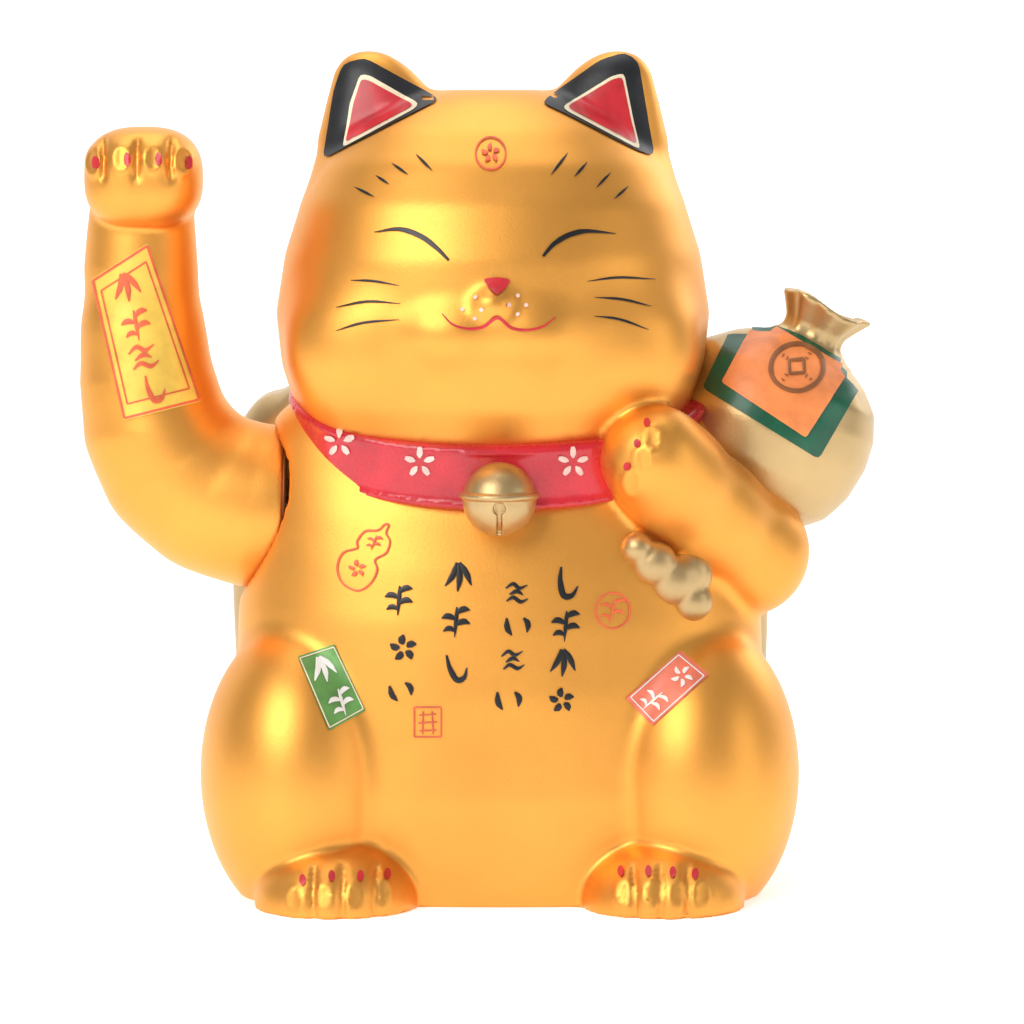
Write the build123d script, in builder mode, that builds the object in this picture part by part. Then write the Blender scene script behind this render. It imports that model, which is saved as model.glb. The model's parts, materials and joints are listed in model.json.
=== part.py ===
"""A beckoning cat: a moulded figure whose right arm swings on an axle, driven by a pendulum and a coil inside.

Frame: millimetres, +Z up, the cat faces -Y, its swinging arm is on the -X side. The origin is on the flat
underside, midway between the flanks and on the plane where the front and rear shells meet.
"""

import os
from math import cos, pi, radians, sin, sqrt

from build123d import *

# Figure: overall sizes
FIGURE_HEIGHT = 240.0  # ear tips above the table
EAR_RISE = 11.0  # ear tips above the crown
CHIN_HEIGHT = 122.0  # lowest section of the head, hidden in the neck
SHOULDER_HEIGHT = 141.0  # top of the torso
TORSO_HALF_WIDTH = 77.0
TORSO_FRONT = 52.0
TORSO_BACK = 52.0
HEAD_HALF_WIDTH = 62.0
HEAD_FRONT = 54.0
HEAD_BACK = 50.0
WALL = 2.5  # moulded shells
TORSO_POWER = 2.4  # superellipse exponents of the level sections
HEAD_POWER = 2.2
OUTLINE_POINTS = 16

# Torso outlines, from the base up, as shares of its half width, front or back depth, and of its height
TORSO_FLANK = [(0.961, 0.0), (1.0, 0.2), (0.987, 0.42), (0.953, 0.66), (0.9, 0.82), (0.81, 0.93), (0.66, 1.0)]
TORSO_CHEST = [(0.923, 0.0), (1.0, 0.2), (0.981, 0.4), (0.9, 0.6), (0.8, 0.77), (0.7, 0.89), (0.58, 1.0)]
TORSO_SPINE = [(0.923, 0.0), (1.0, 0.2), (1.0, 0.4), (0.95, 0.6), (0.87, 0.77), (0.77, 0.89), (0.62, 1.0)]
# Head levels, as shares of its height, half width, front depth and back depth
HEAD_LEVELS = [
    (0.000, 0.770, 0.670, 0.600),
    (0.075, 0.850, 0.800, 0.700),
    (0.168, 0.905, 0.910, 0.810),
    (0.262, 0.968, 0.963, 0.910),
    (0.402, 1.000, 1.000, 1.000),
    (0.561, 0.956, 0.980, 0.990),
    (0.700, 0.880, 0.890, 0.900),
    (0.804, 0.775, 0.760, 0.800),
    (0.897, 0.610, 0.575, 0.640),
    (0.963, 0.387, 0.352, 0.420),
    (1.000, 0.160, 0.150, 0.180),
]
# Ear levels: height below the tip, centre from the middle plane, half width, half depth
EAR_LEVELS = [
    (42.0, 31.0, 21.0, 17.0),
    (25.0, 31.4, 19.3, 13.5),
    (14.0, 33.4, 15.0, 10.2),
    (6.0, 35.4, 10.0, 6.8),
    (1.6, 36.3, 5.6, 4.0),
    (0.0, 36.6, 2.4, 2.0),
]
THIGH_INSET = 21.0  # thigh's centre inside the torso's flank
THIGH_FORWARD = 22.0
THIGH_HEIGHT = 34.0
THIGH_RADII = (29.0, 36.0, 43.0)
THIGH_CAVITY_FLOOR = 10.0
FOOT_INSET = 31.0
FOOT_FORWARD = 45.0
FOOT_HEIGHT = 2.0
FOOT_RADII = (23.0, 21.0, 17.0)

# Arm that holds the money bag: x inside the torso's flank, y, z
ELBOW_PLACE = (7.0, -12.0, 97.0)
WRIST_PLACE = (30.0, -36.0, 121.0)
PAW_PLACE = (36.0, -41.0, 127.0)
UPPER_PLACE = (23.0, 8.0, 121.0)
ELBOW_RADIUS = 17.5
UPPER_RADIUS = 17.0
WRIST_RADIUS = 15.0
PAW_RADIUS = 15.4

# Swinging arm: a short taper out of the socket, a quarter bend upwards, then level sections
ARM_CLEAR = 3.0  # arm's open end to the socket's floor
ARM_SHOULDER_RADIUS = 22.5
ARM_SHOULDER_RUN = 9.0
ARM_BEND_RADIUS = 19.0  # of the arm itself through the bend
ARM_BEND_TURN = 31.0  # of the bend's centreline
# Level sections above the bend: x out from the bend's end, z above the axle, radius
ARM_LEVELS = [
    (0.0, 31.0, 19.0),
    (1.0, 48.5, 17.5),
    (1.0, 62.5, 16.0),
    (0.6, 78.5, 15.5),
    (0.4, 91.5, 16.6),
    (0.4, 101.5, 15.6),
    (0.4, 107.0, 11.6),
    (0.4, 109.5, 6.0),
]
ARM_TOP_LEVELS = 3  # last levels, lowered by the wall for the hollow
ARM_WALL = 2.0
RAISED_PAW_FORWARD = 8.0
RAISED_PAW_RISE = 94.5
RAISED_PAW_RADII = (16.2, 17.0, 14.0)

# Shoulder socket and axle
AXLE_HEIGHT = 108.5
SOCKET_RADIUS = 24.5
SOCKET_DEPTH = 12.0  # from the torso's flank at the axle to the socket's floor
AXLE_RADIUS = 2.0
AXLE_PASSAGE_RADIUS = 5.0  # hole in the socket's floor
RUNNING_GAP = 0.05
SEAT_GAP = 0.02
HUB_THICKNESS = 3.0
HUB_BOSS_RADIUS = 6.0
HUB_BOSS_LENGTH = 14.0
HUB_BOSS_END = 2.0  # closed end past the axle

# Drive frame, pendulum and coil
FRAME_GAP = 2.0  # socket wall to the frame
UPRIGHT_THICKNESS = 3.0
UPRIGHT_HALF_WIDTH = 9.0
FRAME_INNER_WIDTH = 26.0
FRAME_PAD = 3.0  # raised pad under the frame
FLANGE_THICKNESS = 3.0
FLANGE_HALF_LENGTH = 17.0
FRAME_HEAD = 10.0  # uprights above the axle
FRAME_BRACE = 3.0
BUSH_RADIUS = 4.0
BUSH_FLANGE_RADIUS = 5.5
BUSH_FLANGE = 1.0
CLIP_THICKNESS = 0.8
CLIP_RADIUS = 3.8
CLIP_GROOVE_RADIUS = 1.5
CLIP_GAP = 0.3
AXLE_STICK_OUT = 3.0
LEVER_THICKNESS = 5.0
LEVER_WIDTH = 8.0
LEVER_HUB_RADIUS = 7.0
LEVER_HUB_LENGTH = 12.0
MAGNET_RADIUS = 8.0
MAGNET_THICKNESS = 5.0
MAGNET_WALL = 1.5
MAGNET_COIL_GAP = 3.5
WEIGHT_RADIUS = 13.0
WEIGHT_THICKNESS = 18.0
WEIGHT_DROP = 58.0  # weight's centre below the axle
SET_SCREW_RADIUS = 1.5
COIL_HEIGHT = 14.0
BOBBIN_RADIUS = 11.5
BOBBIN_CHEEK = 1.5
BOBBIN_TUBE_RADIUS = 5.0
COIL_RADIUS = 10.5
CORE_RADIUS = 2.0

# Base plate and its screws
BASE_THICKNESS = 3.0
FIT_GAP = 0.3  # plate to shells, door to frame and the like
BOSS_INSET = 21.0  # bosses inside the torso's flank
BOSS_FORE_INSET = 24.5  # bosses inside its front and back
BOSS_RADIUS = 4.5
BOSS_HEIGHT = 22.0
BOSS_RIB = 20.0
SCREW_RADIUS = 1.5
SCREW_HEAD_RADIUS = 2.9
SCREW_HEAD = 1.6
SCREW_RECESS = 1.9
BASE_SCREW_LENGTH = 13.5
SMALL_SCREW_RADIUS = 1.1
SMALL_SCREW_HEAD_RADIUS = 2.1
SMALL_SCREW_HEAD = 1.3
FRAME_SCREW_LENGTH = 7.0
BOARD_SCREW_LENGTH = 5.0

# Battery compartment and door
CELL_RADIUS = 7.2
CELL_LENGTH = 49.4  # without the positive cap
CELL_CAP = 1.0
CELL_CAP_RADIUS = 2.7
CELL_PITCH = 15.0
SPRING_LENGTH = 5.8
CONTACT_THICKNESS = 0.5
CONTACT_SIZE = 9.0
COMPARTMENT_START = 1.5  # x of its inner end
COMPARTMENT_WALL = 1.8
COMPARTMENT_FOOT = 2.0  # thicker foot around it
COMPARTMENT_FOOT_TOP = 6.0
CELL_CLEARANCE = 0.5
DOOR_THICKNESS = 2.0
DOOR_RECESS = 0.4  # door's face above the table
DOOR_LEDGE = 1.0
DOOR_SEAT_GAP = 0.2
BARREL_RADIUS = 1.5
BARREL_OUT = 2.5  # barrel's axis beyond the door's edge
BARREL_LENGTH = 30.0
HINGE_PIN_RADIUS = 0.75
HINGE_PIN_LENGTH = 3.0
HINGE_RUNNING_GAP = 0.1
HINGE_BLOCK_TOP = 5.5
SPRING_WIRE = 0.4
SPRING_RADIUS = 4.0
SPRING_TURNS = 3.0

# Circuit board and switch
BOARD_SIZE = (16.0, 44.0, 1.6)
BOARD_Y = -12.0
BOARD_GAP = 3.0  # board to the drive frame
BOARD_HEIGHT = 8.0
POST_RADIUS = 3.0
BOARD_SCREW_SPOTS = [(-4.7, 19.0), (4.3, -19.0)]
CAPACITOR_RADIUS = 3.0
CAPACITOR_HEIGHT = 7.0
TRANSISTOR_RADIUS = 2.4
TRANSISTOR_HEIGHT = 4.6
SWITCH_Y = 26.0
SWITCH_SIZE = (8.0, 14.0, 6.0)
KNOB_STEM = (2.4, 3.0)
KNOB_FLANGE = (4.0, 5.0, 1.6)
KNOB_TRAVEL = 4.0
KNOB_RECESS = 0.5
LEAD_RADIUS = 0.6
LEAD_HOLE_RADIUS = 1.0
LEAD_HEIGHT = 15.0

# Collar and bell. The collar's lower and upper outlines: half width, front, back, in its tilted planes
COLLAR_TILT = 18.0
COLLAR_HEIGHT = 135.0  # band's middle, over the origin
COLLAR_WIDTH = 17.5
COLLAR_POWER = 2.5  # fuller at the corners than the neck, to clear the shoulders
COLLAR_LOWER = (59.0, 49.2, 42.0)
COLLAR_UPPER = (60.0, 44.5, 54.0)
BELL_RADIUS = 10.4
BELL_ENGRAVING = 1.4  # depth of its slot and hole
BELL_FORWARD = 50.0
BELL_HEIGHT = 115.6
BELL_SLOT = 1.8
BELL_HOLE_RADIUS = 2.0

# Money bag, in its own frame: tilted to the cat's left, its own axis through the neck
BAG_OUT = 1.0  # centre beyond the torso's flank
BAG_BACK = 6.0
BAG_HEIGHT = 132.0
BAG_TILT = 25.0
BAG_BODY_RADIUS = 31.0
BAG_HALF_HEIGHT = 26.0
BAG_NECK_RADIUS = 9.0
BAG_MOUTH_RADIUS = 12.5
BAG_NECK_RISE = 12.0
BAG_WALL = 2.2
LABEL_THICKNESS = 0.8
LABEL_LEFT, LABEL_RIGHT = -23.5, 16.0
LABEL_LOW, LABEL_HIGH = -3.0, 20.0

# Cloth end below the holding arm: x, z and radius of its lobes
CLOTH_LOBES = [(42.0, 98.0, 7.5), (46.5, 91.0, 7.5), (54.5, 86.5, 7.5)]
CLOTH_SUNK = 2.5

# Sack on the cat's back
SACK_HALF_WIDTH = 81.0
SACK_TOP = 146.0
SACK_BOTTOM = 1.5
SACK_BACK = 76.0
SACK_FRONT = 26.0
SACK_WALL = 2.5
SACK_SIDE_ROUND = 17.0
SACK_TOP_ROUND = 11.0

os.makedirs("parts", exist_ok=True)


def finish(builder, label):
    """Label a finished piece and write it."""
    builder.part.label = label
    export_step(builder.part, f"parts/{label}.step")


def signed_power(value, power):
    return abs(value) ** power * (1 if value >= 0 else -1)


def level_outline(half_width, front, back, power):
    """Points of a closed superellipse whose front and back depths differ."""
    points = []
    for step in range(OUTLINE_POINTS):
        turn = 2 * pi * step / OUTLINE_POINTS
        across = half_width * signed_power(cos(turn), 2 / power)
        depth = back if sin(turn) >= 0 else front
        points.append((across, depth * signed_power(sin(turn), 2 / power)))
    return points


def stack_levels(levels, bottom, top, reach, power, inset):
    """Loft level sections whose sizes are shares of reach, drawn in by inset."""
    half_width, front, back = reach
    with BuildPart() as stack:
        for share, wide, fore, aft in levels:
            lift = bottom + share * (top - bottom)
            sizes = (half_width * wide - inset, front * fore - inset, back * aft - inset)
            with BuildSketch(Plane.XY.offset(lift)):
                with BuildLine():
                    Spline(*level_outline(*sizes, power), periodic=True)
                make_face()
        loft()
    return stack.part


def torso_form(inset=0.0):
    """The torso: its plan, trimmed to its front and side outlines, drawn in by inset."""
    top = SHOULDER_HEIGHT - inset
    wide = [(share * TORSO_HALF_WIDTH - inset, rise * top) for share, rise in TORSO_FLANK]
    chest = [(-share * TORSO_FRONT + inset, rise * top) for share, rise in TORSO_CHEST]
    spine = [(share * TORSO_BACK - inset, rise * top) for share, rise in TORSO_SPINE]
    with BuildPart() as form:
        with BuildSketch():
            with BuildLine():
                reach = (TORSO_HALF_WIDTH - inset, TORSO_FRONT - inset, TORSO_BACK - inset)
                Spline(*level_outline(*reach, TORSO_POWER), periodic=True)
            make_face()
        extrude(amount=top)
        with BuildSketch(Plane.XZ):
            with BuildLine():
                Spline(*wide)
                Line(wide[-1], (-wide[-1][0], top))
                Spline(*[(-x, z) for x, z in reversed(wide)])
                Line((-wide[0][0], 0), wide[0])
            make_face()
        extrude(amount=2 * TORSO_FRONT, both=True, mode=Mode.INTERSECT)
        with BuildSketch(Plane.YZ):
            with BuildLine():
                Spline(*chest)
                Line(chest[-1], spine[-1])
                Spline(*reversed(spine))
                Line(spine[0], chest[0])
            make_face()
        extrude(amount=2 * TORSO_HALF_WIDTH, both=True, mode=Mode.INTERSECT)
    return form.part


def head_form(inset=0.0):
    levels = HEAD_LEVELS if inset == 0 else HEAD_LEVELS[:-1]
    crown = FIGURE_HEIGHT - EAR_RISE - inset
    top = CHIN_HEIGHT + levels[-1][0] * (crown - CHIN_HEIGHT)
    scaled = [(share / levels[-1][0], *rest) for share, *rest in levels]
    reach = (HEAD_HALF_WIDTH, HEAD_FRONT, HEAD_BACK)
    return stack_levels(scaled, CHIN_HEIGHT, top, reach, HEAD_POWER, inset)


def ear_form(side):
    with BuildPart() as ear:
        for drop, out, half_width, half_depth in EAR_LEVELS:
            with BuildSketch(Plane.XY.offset(FIGURE_HEIGHT - drop)):
                with Locations((side * out, 0)):
                    Ellipse(half_width, half_depth)
        loft()
    return ear.part


def egg(centre, radii, inset=0.0, floor=None):
    """A rounded form with three radii, cut flat below its floor where one is given."""
    with BuildPart() as ball:
        Sphere(1)
        scale(by=tuple(radius - inset for radius in radii))
    with BuildPart() as placed:
        with Locations(centre):
            add(ball.part)
        if floor is not None:
            split(bisect_by=Plane.XY.offset(floor), keep=Keep.TOP)
    return placed.part


def limb(start, end, start_radius, end_radius):
    """A tapered tube between two points with a round ball at each end."""
    along = Vector(*end) - Vector(*start)
    with BuildPart() as tube:
        with BuildSketch(Plane(origin=start, z_dir=along)):
            Circle(start_radius)
        with BuildSketch(Plane(origin=end, z_dir=along)):
            Circle(end_radius)
        loft()
        with Locations(start):
            Sphere(start_radius)
        with Locations(end):
            Sphere(end_radius)
    return tube.part


def holding_arm(inset=0.0):
    pieces = [
        limb(ELBOW, UPPER_END, ELBOW_RADIUS - inset, UPPER_RADIUS - inset),
        limb(ELBOW, WRIST, ELBOW_RADIUS - inset, WRIST_RADIUS - inset),
        limb(WRIST, PAW, WRIST_RADIUS - inset, PAW_RADIUS - inset),
    ]
    return pieces


def swinging_arm(inset=0.0):
    """The raised arm and its paw, as two solids drawn in by inset."""
    bend_start = ARM_START - ARM_SHOULDER_RUN
    bend_end = bend_start - ARM_BEND_TURN
    with BuildPart() as arm:
        with BuildSketch(CROSS_PLANE.offset(ARM_START)):
            Circle(ARM_SHOULDER_RADIUS - inset)
        with BuildSketch(CROSS_PLANE.offset(bend_start)):
            Circle(ARM_BEND_RADIUS - inset)
        loft()
        with BuildSketch(CROSS_PLANE.offset(bend_start)):
            Circle(ARM_BEND_RADIUS - inset)
        revolve(
            axis=Axis((bend_start, 0, AXLE_HEIGHT + ARM_BEND_TURN), (0, 1, 0)),
            revolution_arc=90,
        )
        for number, (out, rise, radius) in enumerate(ARM_LEVELS):
            lowered = inset if number >= len(ARM_LEVELS) - ARM_TOP_LEVELS else 0.0
            with BuildSketch(Plane.XY.offset(AXLE_HEIGHT + rise - lowered)):
                with Locations((bend_end - out, 0)):
                    Circle(radius - inset)
        loft()
    centre = (bend_end - ARM_LEVELS[-1][0], -RAISED_PAW_FORWARD, AXLE_HEIGHT + RAISED_PAW_RISE)
    return arm.part, egg(centre, RAISED_PAW_RADII, inset)


def share_at(outline, rise):
    """An outline's share at a height share, by straight line."""
    for low, high in zip(outline, outline[1:]):
        if low[1] <= rise <= high[1]:
            return low[0] + (rise - low[1]) / (high[1] - low[1]) * (high[0] - low[0])
    return outline[-1][0]


def torso_flank(height):
    return TORSO_HALF_WIDTH * share_at(TORSO_FLANK, height / SHOULDER_HEIGHT)


def torso_front_at(across, height):
    """How far in front of the middle plane the torso's surface is."""
    plan = TORSO_FRONT * (1 - (abs(across) / TORSO_HALF_WIDTH) ** TORSO_POWER) ** (1 / TORSO_POWER)
    return min(plan, TORSO_FRONT * share_at(TORSO_CHEST, height / SHOULDER_HEIGHT))


def screw(radius, head_radius, head, length):
    """A slotted screw, head up, its head's underside on the origin."""
    with BuildPart() as made:
        with BuildSketch():
            Circle(head_radius)
        extrude(amount=head)
        with BuildSketch():
            Circle(radius)
        extrude(amount=-length)
        with BuildSketch(Plane.XY.offset(head)):
            Rectangle(1.7 * head_radius, 0.3 * head_radius)
        extrude(amount=-0.45 * head, mode=Mode.SUBTRACT)
        fillet(made.faces().sort_by(Axis.Z)[-1].outer_wire().edges().filter_by(GeomType.CIRCLE), 0.15)
    return made.part


def coil_spring(length):
    """A spring along +X, its first turn sunk in the plate that ends at the origin and its last short of length."""
    rise = length - 1.5 * SPRING_WIRE
    with BuildPart() as spring:
        with BuildLine():
            Helix(pitch=rise / SPRING_TURNS, height=rise, radius=SPRING_RADIUS)
        with BuildSketch(Plane(origin=(SPRING_RADIUS, 0, 0), z_dir=(0, 1, 0))):
            Circle(SPRING_WIRE)
        sweep(is_frenet=True)
    return Pos(SPRING_WIRE / 2, 0, 0) * Rot(0, 90, 0) * spring.part


def mirrored(x, y):
    """Four places, one in each quarter."""
    return [(side_x * x, side_y * y) for side_x in (-1, 1) for side_y in (-1, 1)]


# Places worked out from the sizes above
ELBOW, WRIST, PAW, UPPER_END = [
    (TORSO_HALF_WIDTH - place[0], place[1], place[2])
    for place in (ELBOW_PLACE, WRIST_PLACE, PAW_PLACE, UPPER_PLACE)
]
SOCKET_FLOOR = -(torso_flank(AXLE_HEIGHT) - SOCKET_DEPTH)  # x of the floor's outer face
ARM_START = SOCKET_FLOOR - ARM_CLEAR
FRAME_OUTER = SOCKET_FLOOR + WALL + FRAME_GAP  # x of the outer upright's outer face
FRAME_MIDDLE = FRAME_OUTER + UPRIGHT_THICKNESS + FRAME_INNER_WIDTH / 2
FRAME_INNER = FRAME_OUTER + 2 * UPRIGHT_THICKNESS + FRAME_INNER_WIDTH
FRAME_FLOOR = BASE_THICKNESS + FRAME_PAD
COIL_FLOOR = FRAME_FLOOR + FLANGE_THICKNESS
MAGNET_BOTTOM = COIL_FLOOR + COIL_HEIGHT + MAGNET_COIL_GAP
BOARD_X = FRAME_INNER + BOARD_GAP + BOARD_SIZE[0] / 2
BOARD_TOP = BOARD_HEIGHT + BOARD_SIZE[2]
SWITCH_X = BOARD_X
CELL_ROOM = 2 * CONTACT_THICKNESS + SPRING_LENGTH + CELL_LENGTH + CELL_CAP
COMPARTMENT_END = COMPARTMENT_START + CELL_ROOM
COMPARTMENT_MIDDLE = (COMPARTMENT_START + COMPARTMENT_END) / 2
DOOR_TOP = DOOR_RECESS + DOOR_THICKNESS
CELL_HEIGHT = DOOR_TOP + DOOR_SEAT_GAP + CELL_CLEARANCE + CELL_RADIUS
COMPARTMENT_CEILING = CELL_HEIGHT + CELL_RADIUS + CELL_CLEARANCE
DOOR_LENGTH = CELL_ROOM + 2 * DOOR_LEDGE
DOOR_WIDTH = 2 * CELL_PITCH + 2 * DOOR_LEDGE
HINGE_Y = -DOOR_WIDTH / 2 - BARREL_OUT
HINGE_Z = DOOR_RECESS + BARREL_RADIUS
# how far the door's hinged edge swings out past its closed line, at the base's underside
DOOR_SWEEP = BARREL_OUT - sqrt(BARREL_OUT**2 + (DOOR_TOP - HINGE_Z) ** 2 - HINGE_Z**2)
BOSS_PLACES = mirrored(TORSO_HALF_WIDTH - BOSS_INSET, TORSO_FRONT - BOSS_FORE_INSET)
CROSS_PLANE = Plane(origin=(0, 0, AXLE_HEIGHT), x_dir=(0, 1, 0), z_dir=(1, 0, 0))  # across the axle

# ---- Figure shells ----
torso = torso_form()
head = head_form()
ears = [ear_form(side) for side in (-1, 1)]
thighs = []
thigh_cavities = []
feet = []
for side in (-1, 1):
    thigh_place = (side * (TORSO_HALF_WIDTH - THIGH_INSET), -THIGH_FORWARD, THIGH_HEIGHT)
    foot_place = (side * (TORSO_HALF_WIDTH - FOOT_INSET), -FOOT_FORWARD, FOOT_HEIGHT)
    thighs.append(egg(thigh_place, THIGH_RADII))
    thigh_cavities.append(egg(thigh_place, THIGH_RADII, WALL, THIGH_CAVITY_FLOOR))
    feet.append(egg(foot_place, FOOT_RADII))
arm_limbs = holding_arm()
arm_cavities = holding_arm(WALL)
torso_cavity = torso_form(WALL)
head_cavity = head_form(WALL)
rib_bound = torso_form(WALL / 2)

with BuildPart() as figure_skin:
    add(torso)
    add(head)
    for form in ears + thighs + feet + arm_limbs:
        add(form)
    with BuildSketch():
        Rectangle(4 * TORSO_HALF_WIDTH, 4 * TORSO_HALF_WIDTH)
    extrude(amount=-THIGH_RADII[2], mode=Mode.SUBTRACT)

# Round cup that the swinging arm's shoulder sits in
with BuildPart() as socket_cup:
    with BuildSketch(CROSS_PLANE.offset(SOCKET_FLOOR + WALL)):
        Circle(SOCKET_RADIUS + WALL)
    extrude(amount=-TORSO_HALF_WIDTH)
    add(torso, mode=Mode.INTERSECT)

# Bosses for the base screws, tied to the flanks by ribs
with BuildPart() as base_bosses:
    for boss_x, boss_y in BOSS_PLACES:
        with BuildSketch(Plane.XY.offset(BASE_THICKNESS)):
            with Locations((boss_x, boss_y)):
                Circle(BOSS_RADIUS)
            with Locations((boss_x * (1 + BOSS_RIB / 2 / abs(boss_x)), boss_y)):
                Rectangle(BOSS_RIB, WALL)
            with Locations((boss_x, boss_y * (1 + BOSS_RIB / 2 / abs(boss_y)))):
                Rectangle(WALL, BOSS_RIB)
        extrude(amount=BOSS_HEIGHT - BASE_THICKNESS)
    add(rib_bound, mode=Mode.INTERSECT)

with BuildPart() as figure_shell:
    add(figure_skin.part)
    add(torso_cavity, mode=Mode.SUBTRACT)
    add(head_cavity, mode=Mode.SUBTRACT)
    for form in thigh_cavities + arm_cavities:
        add(form, mode=Mode.SUBTRACT)
    add(socket_cup.part)
    add(base_bosses.part)
    with BuildSketch(CROSS_PLANE.offset(SOCKET_FLOOR)):
        Circle(SOCKET_RADIUS)
    extrude(amount=-TORSO_HALF_WIDTH, mode=Mode.SUBTRACT)
    with BuildSketch(CROSS_PLANE.offset(SOCKET_FLOOR)):
        Circle(AXLE_PASSAGE_RADIUS)
    extrude(amount=WALL, mode=Mode.SUBTRACT)
    with BuildSketch(Plane.XY.offset(BASE_THICKNESS)):
        with Locations(*BOSS_PLACES):
            Circle(SCREW_RADIUS + SEAT_GAP)
    extrude(amount=BASE_SCREW_LENGTH, mode=Mode.SUBTRACT)

with BuildPart() as front_shell:
    add(figure_shell.part)
    split(bisect_by=Plane.XZ, keep=Keep.TOP)
finish(front_shell, "front_shell")

with BuildPart() as rear_shell:
    add(figure_shell.part)
    split(bisect_by=Plane.XZ, keep=Keep.BOTTOM)
finish(rear_shell, "rear_shell")

# ---- Trim fixed to the outside of the figure ----
with BuildPart() as collar_band:
    for outline, place in ((COLLAR_LOWER, -0.5), (COLLAR_UPPER, 0.5)):
        lean = Plane.XY.offset(COLLAR_HEIGHT).rotated((COLLAR_TILT, 0, 0))
        with BuildSketch(lean.offset(place * COLLAR_WIDTH)):
            with BuildLine():
                Spline(*level_outline(*outline, COLLAR_POWER), periodic=True)
            make_face()
    loft()
    add(figure_skin.part, mode=Mode.SUBTRACT)
finish(collar_band, "collar_band")

with BuildPart() as collar_bell:
    with Locations((0, -BELL_FORWARD, BELL_HEIGHT)):
        Sphere(BELL_RADIUS)
        Torus(BELL_RADIUS, 0.7)
    with BuildSketch(Plane.XZ.offset(BELL_FORWARD)):
        with Locations((0, BELL_HEIGHT - 3.0)):
            Circle(BELL_HOLE_RADIUS)
        with Locations((0, BELL_HEIGHT - 3.0 - BELL_RADIUS / 2)):
            Rectangle(BELL_SLOT, BELL_RADIUS)
    extrude(amount=2 * BELL_RADIUS, mode=Mode.SUBTRACT)
    with Locations((0, -BELL_FORWARD, BELL_HEIGHT)):
        Sphere(BELL_RADIUS - BELL_ENGRAVING)
    add(figure_skin.part, mode=Mode.SUBTRACT)
    add(collar_band.part, mode=Mode.SUBTRACT)
finish(collar_bell, "collar_bell")

bag_plane = Plane(
    origin=(TORSO_HALF_WIDTH + BAG_OUT, BAG_BACK, BAG_HEIGHT),
    x_dir=(cos(radians(BAG_TILT)), 0, -sin(radians(BAG_TILT))),
    z_dir=(0, -1, 0),
)


def bag_form(inset=0.0, neck=True):
    """The bag's turned body, drawn in by inset, with or without its gathered neck."""
    body = BAG_BODY_RADIUS - inset
    low = -BAG_HALF_HEIGHT + inset
    outline = [(0, low), (0.58 * body, low + 0.5), (0.935 * body, low + 14), (body, 2), (0.87 * body, 16)]
    if neck:
        outline += [(0.58 * body, 23.5), (BAG_NECK_RADIUS + 1.5, 26.5), (BAG_NECK_RADIUS, 29.5)]
        outline += [(BAG_MOUTH_RADIUS, 26 + BAG_NECK_RISE - 1), (BAG_MOUTH_RADIUS - 1.5, 26 + BAG_NECK_RISE)]
        outline += [(0, 24 + BAG_NECK_RISE)]
    else:
        outline += [(0.5 * body, 24 - inset), (0, 26 - inset)]
    with BuildPart() as bag:
        with BuildSketch(bag_plane):
            with BuildLine():
                Spline(*outline)
                Line(outline[-1], outline[0])
            make_face()
        revolve(axis=Axis(bag_plane.origin, bag_plane.y_dir))
    return bag.part


bag_outside = bag_form()
bag_inside = bag_form(BAG_WALL, neck=False)
bag_label_skin = bag_form(-LABEL_THICKNESS)

with BuildPart() as money_bag:
    add(bag_outside)
    add(bag_inside, mode=Mode.SUBTRACT)
    add(figure_skin.part, mode=Mode.SUBTRACT)
    add(collar_band.part, mode=Mode.SUBTRACT)
finish(money_bag, "money_bag")

with BuildPart() as bag_label:
    with BuildSketch(bag_plane):
        with Locations(((LABEL_LEFT + LABEL_RIGHT) / 2, (LABEL_LOW + LABEL_HIGH) / 2)):
            Rectangle(LABEL_RIGHT - LABEL_LEFT, LABEL_HIGH - LABEL_LOW)
    extrude(amount=2 * BAG_BODY_RADIUS)
    add(bag_label_skin, mode=Mode.INTERSECT)
    add(bag_outside, mode=Mode.SUBTRACT)
    add(figure_skin.part, mode=Mode.SUBTRACT)
    add(collar_band.part, mode=Mode.SUBTRACT)
finish(bag_label, "bag_label")

with BuildPart() as cloth_end:
    for lobe_x, lobe_z, lobe_radius in CLOTH_LOBES:
        with Locations((lobe_x, CLOTH_SUNK - torso_front_at(lobe_x, lobe_z), lobe_z)):
            Sphere(lobe_radius)
    add(figure_skin.part, mode=Mode.SUBTRACT)
finish(cloth_end, "cloth_end")

with BuildPart() as back_sack:
    with BuildSketch(Plane.XY.offset(SACK_BOTTOM)):
        with Locations((0, (SACK_FRONT + SACK_BACK) / 2)):
            Rectangle(2 * SACK_HALF_WIDTH, SACK_BACK - SACK_FRONT)
    extrude(amount=SACK_TOP - SACK_BOTTOM)
    fillet(back_sack.edges().filter_by(Axis.Z).group_by(Axis.Y)[-1], SACK_SIDE_ROUND)
    fillet(back_sack.faces().sort_by(Axis.Z)[-1].edges(), SACK_TOP_ROUND)
    with BuildSketch(Plane.XY.offset(SACK_BOTTOM + SACK_WALL)):
        with Locations((0, (SACK_FRONT + SACK_BACK) / 2)):
            RectangleRounded(
                2 * (SACK_HALF_WIDTH - SACK_WALL),
                SACK_BACK - SACK_FRONT - 2 * SACK_WALL,
                SACK_SIDE_ROUND - SACK_WALL,
            )
    extrude(amount=SACK_TOP - SACK_BOTTOM - SACK_TOP_ROUND - SACK_WALL, mode=Mode.SUBTRACT)
    add(figure_skin.part, mode=Mode.SUBTRACT)
    add(collar_band.part, mode=Mode.SUBTRACT)
    add(bag_outside, mode=Mode.SUBTRACT)
finish(back_sack, "back_sack")

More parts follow.
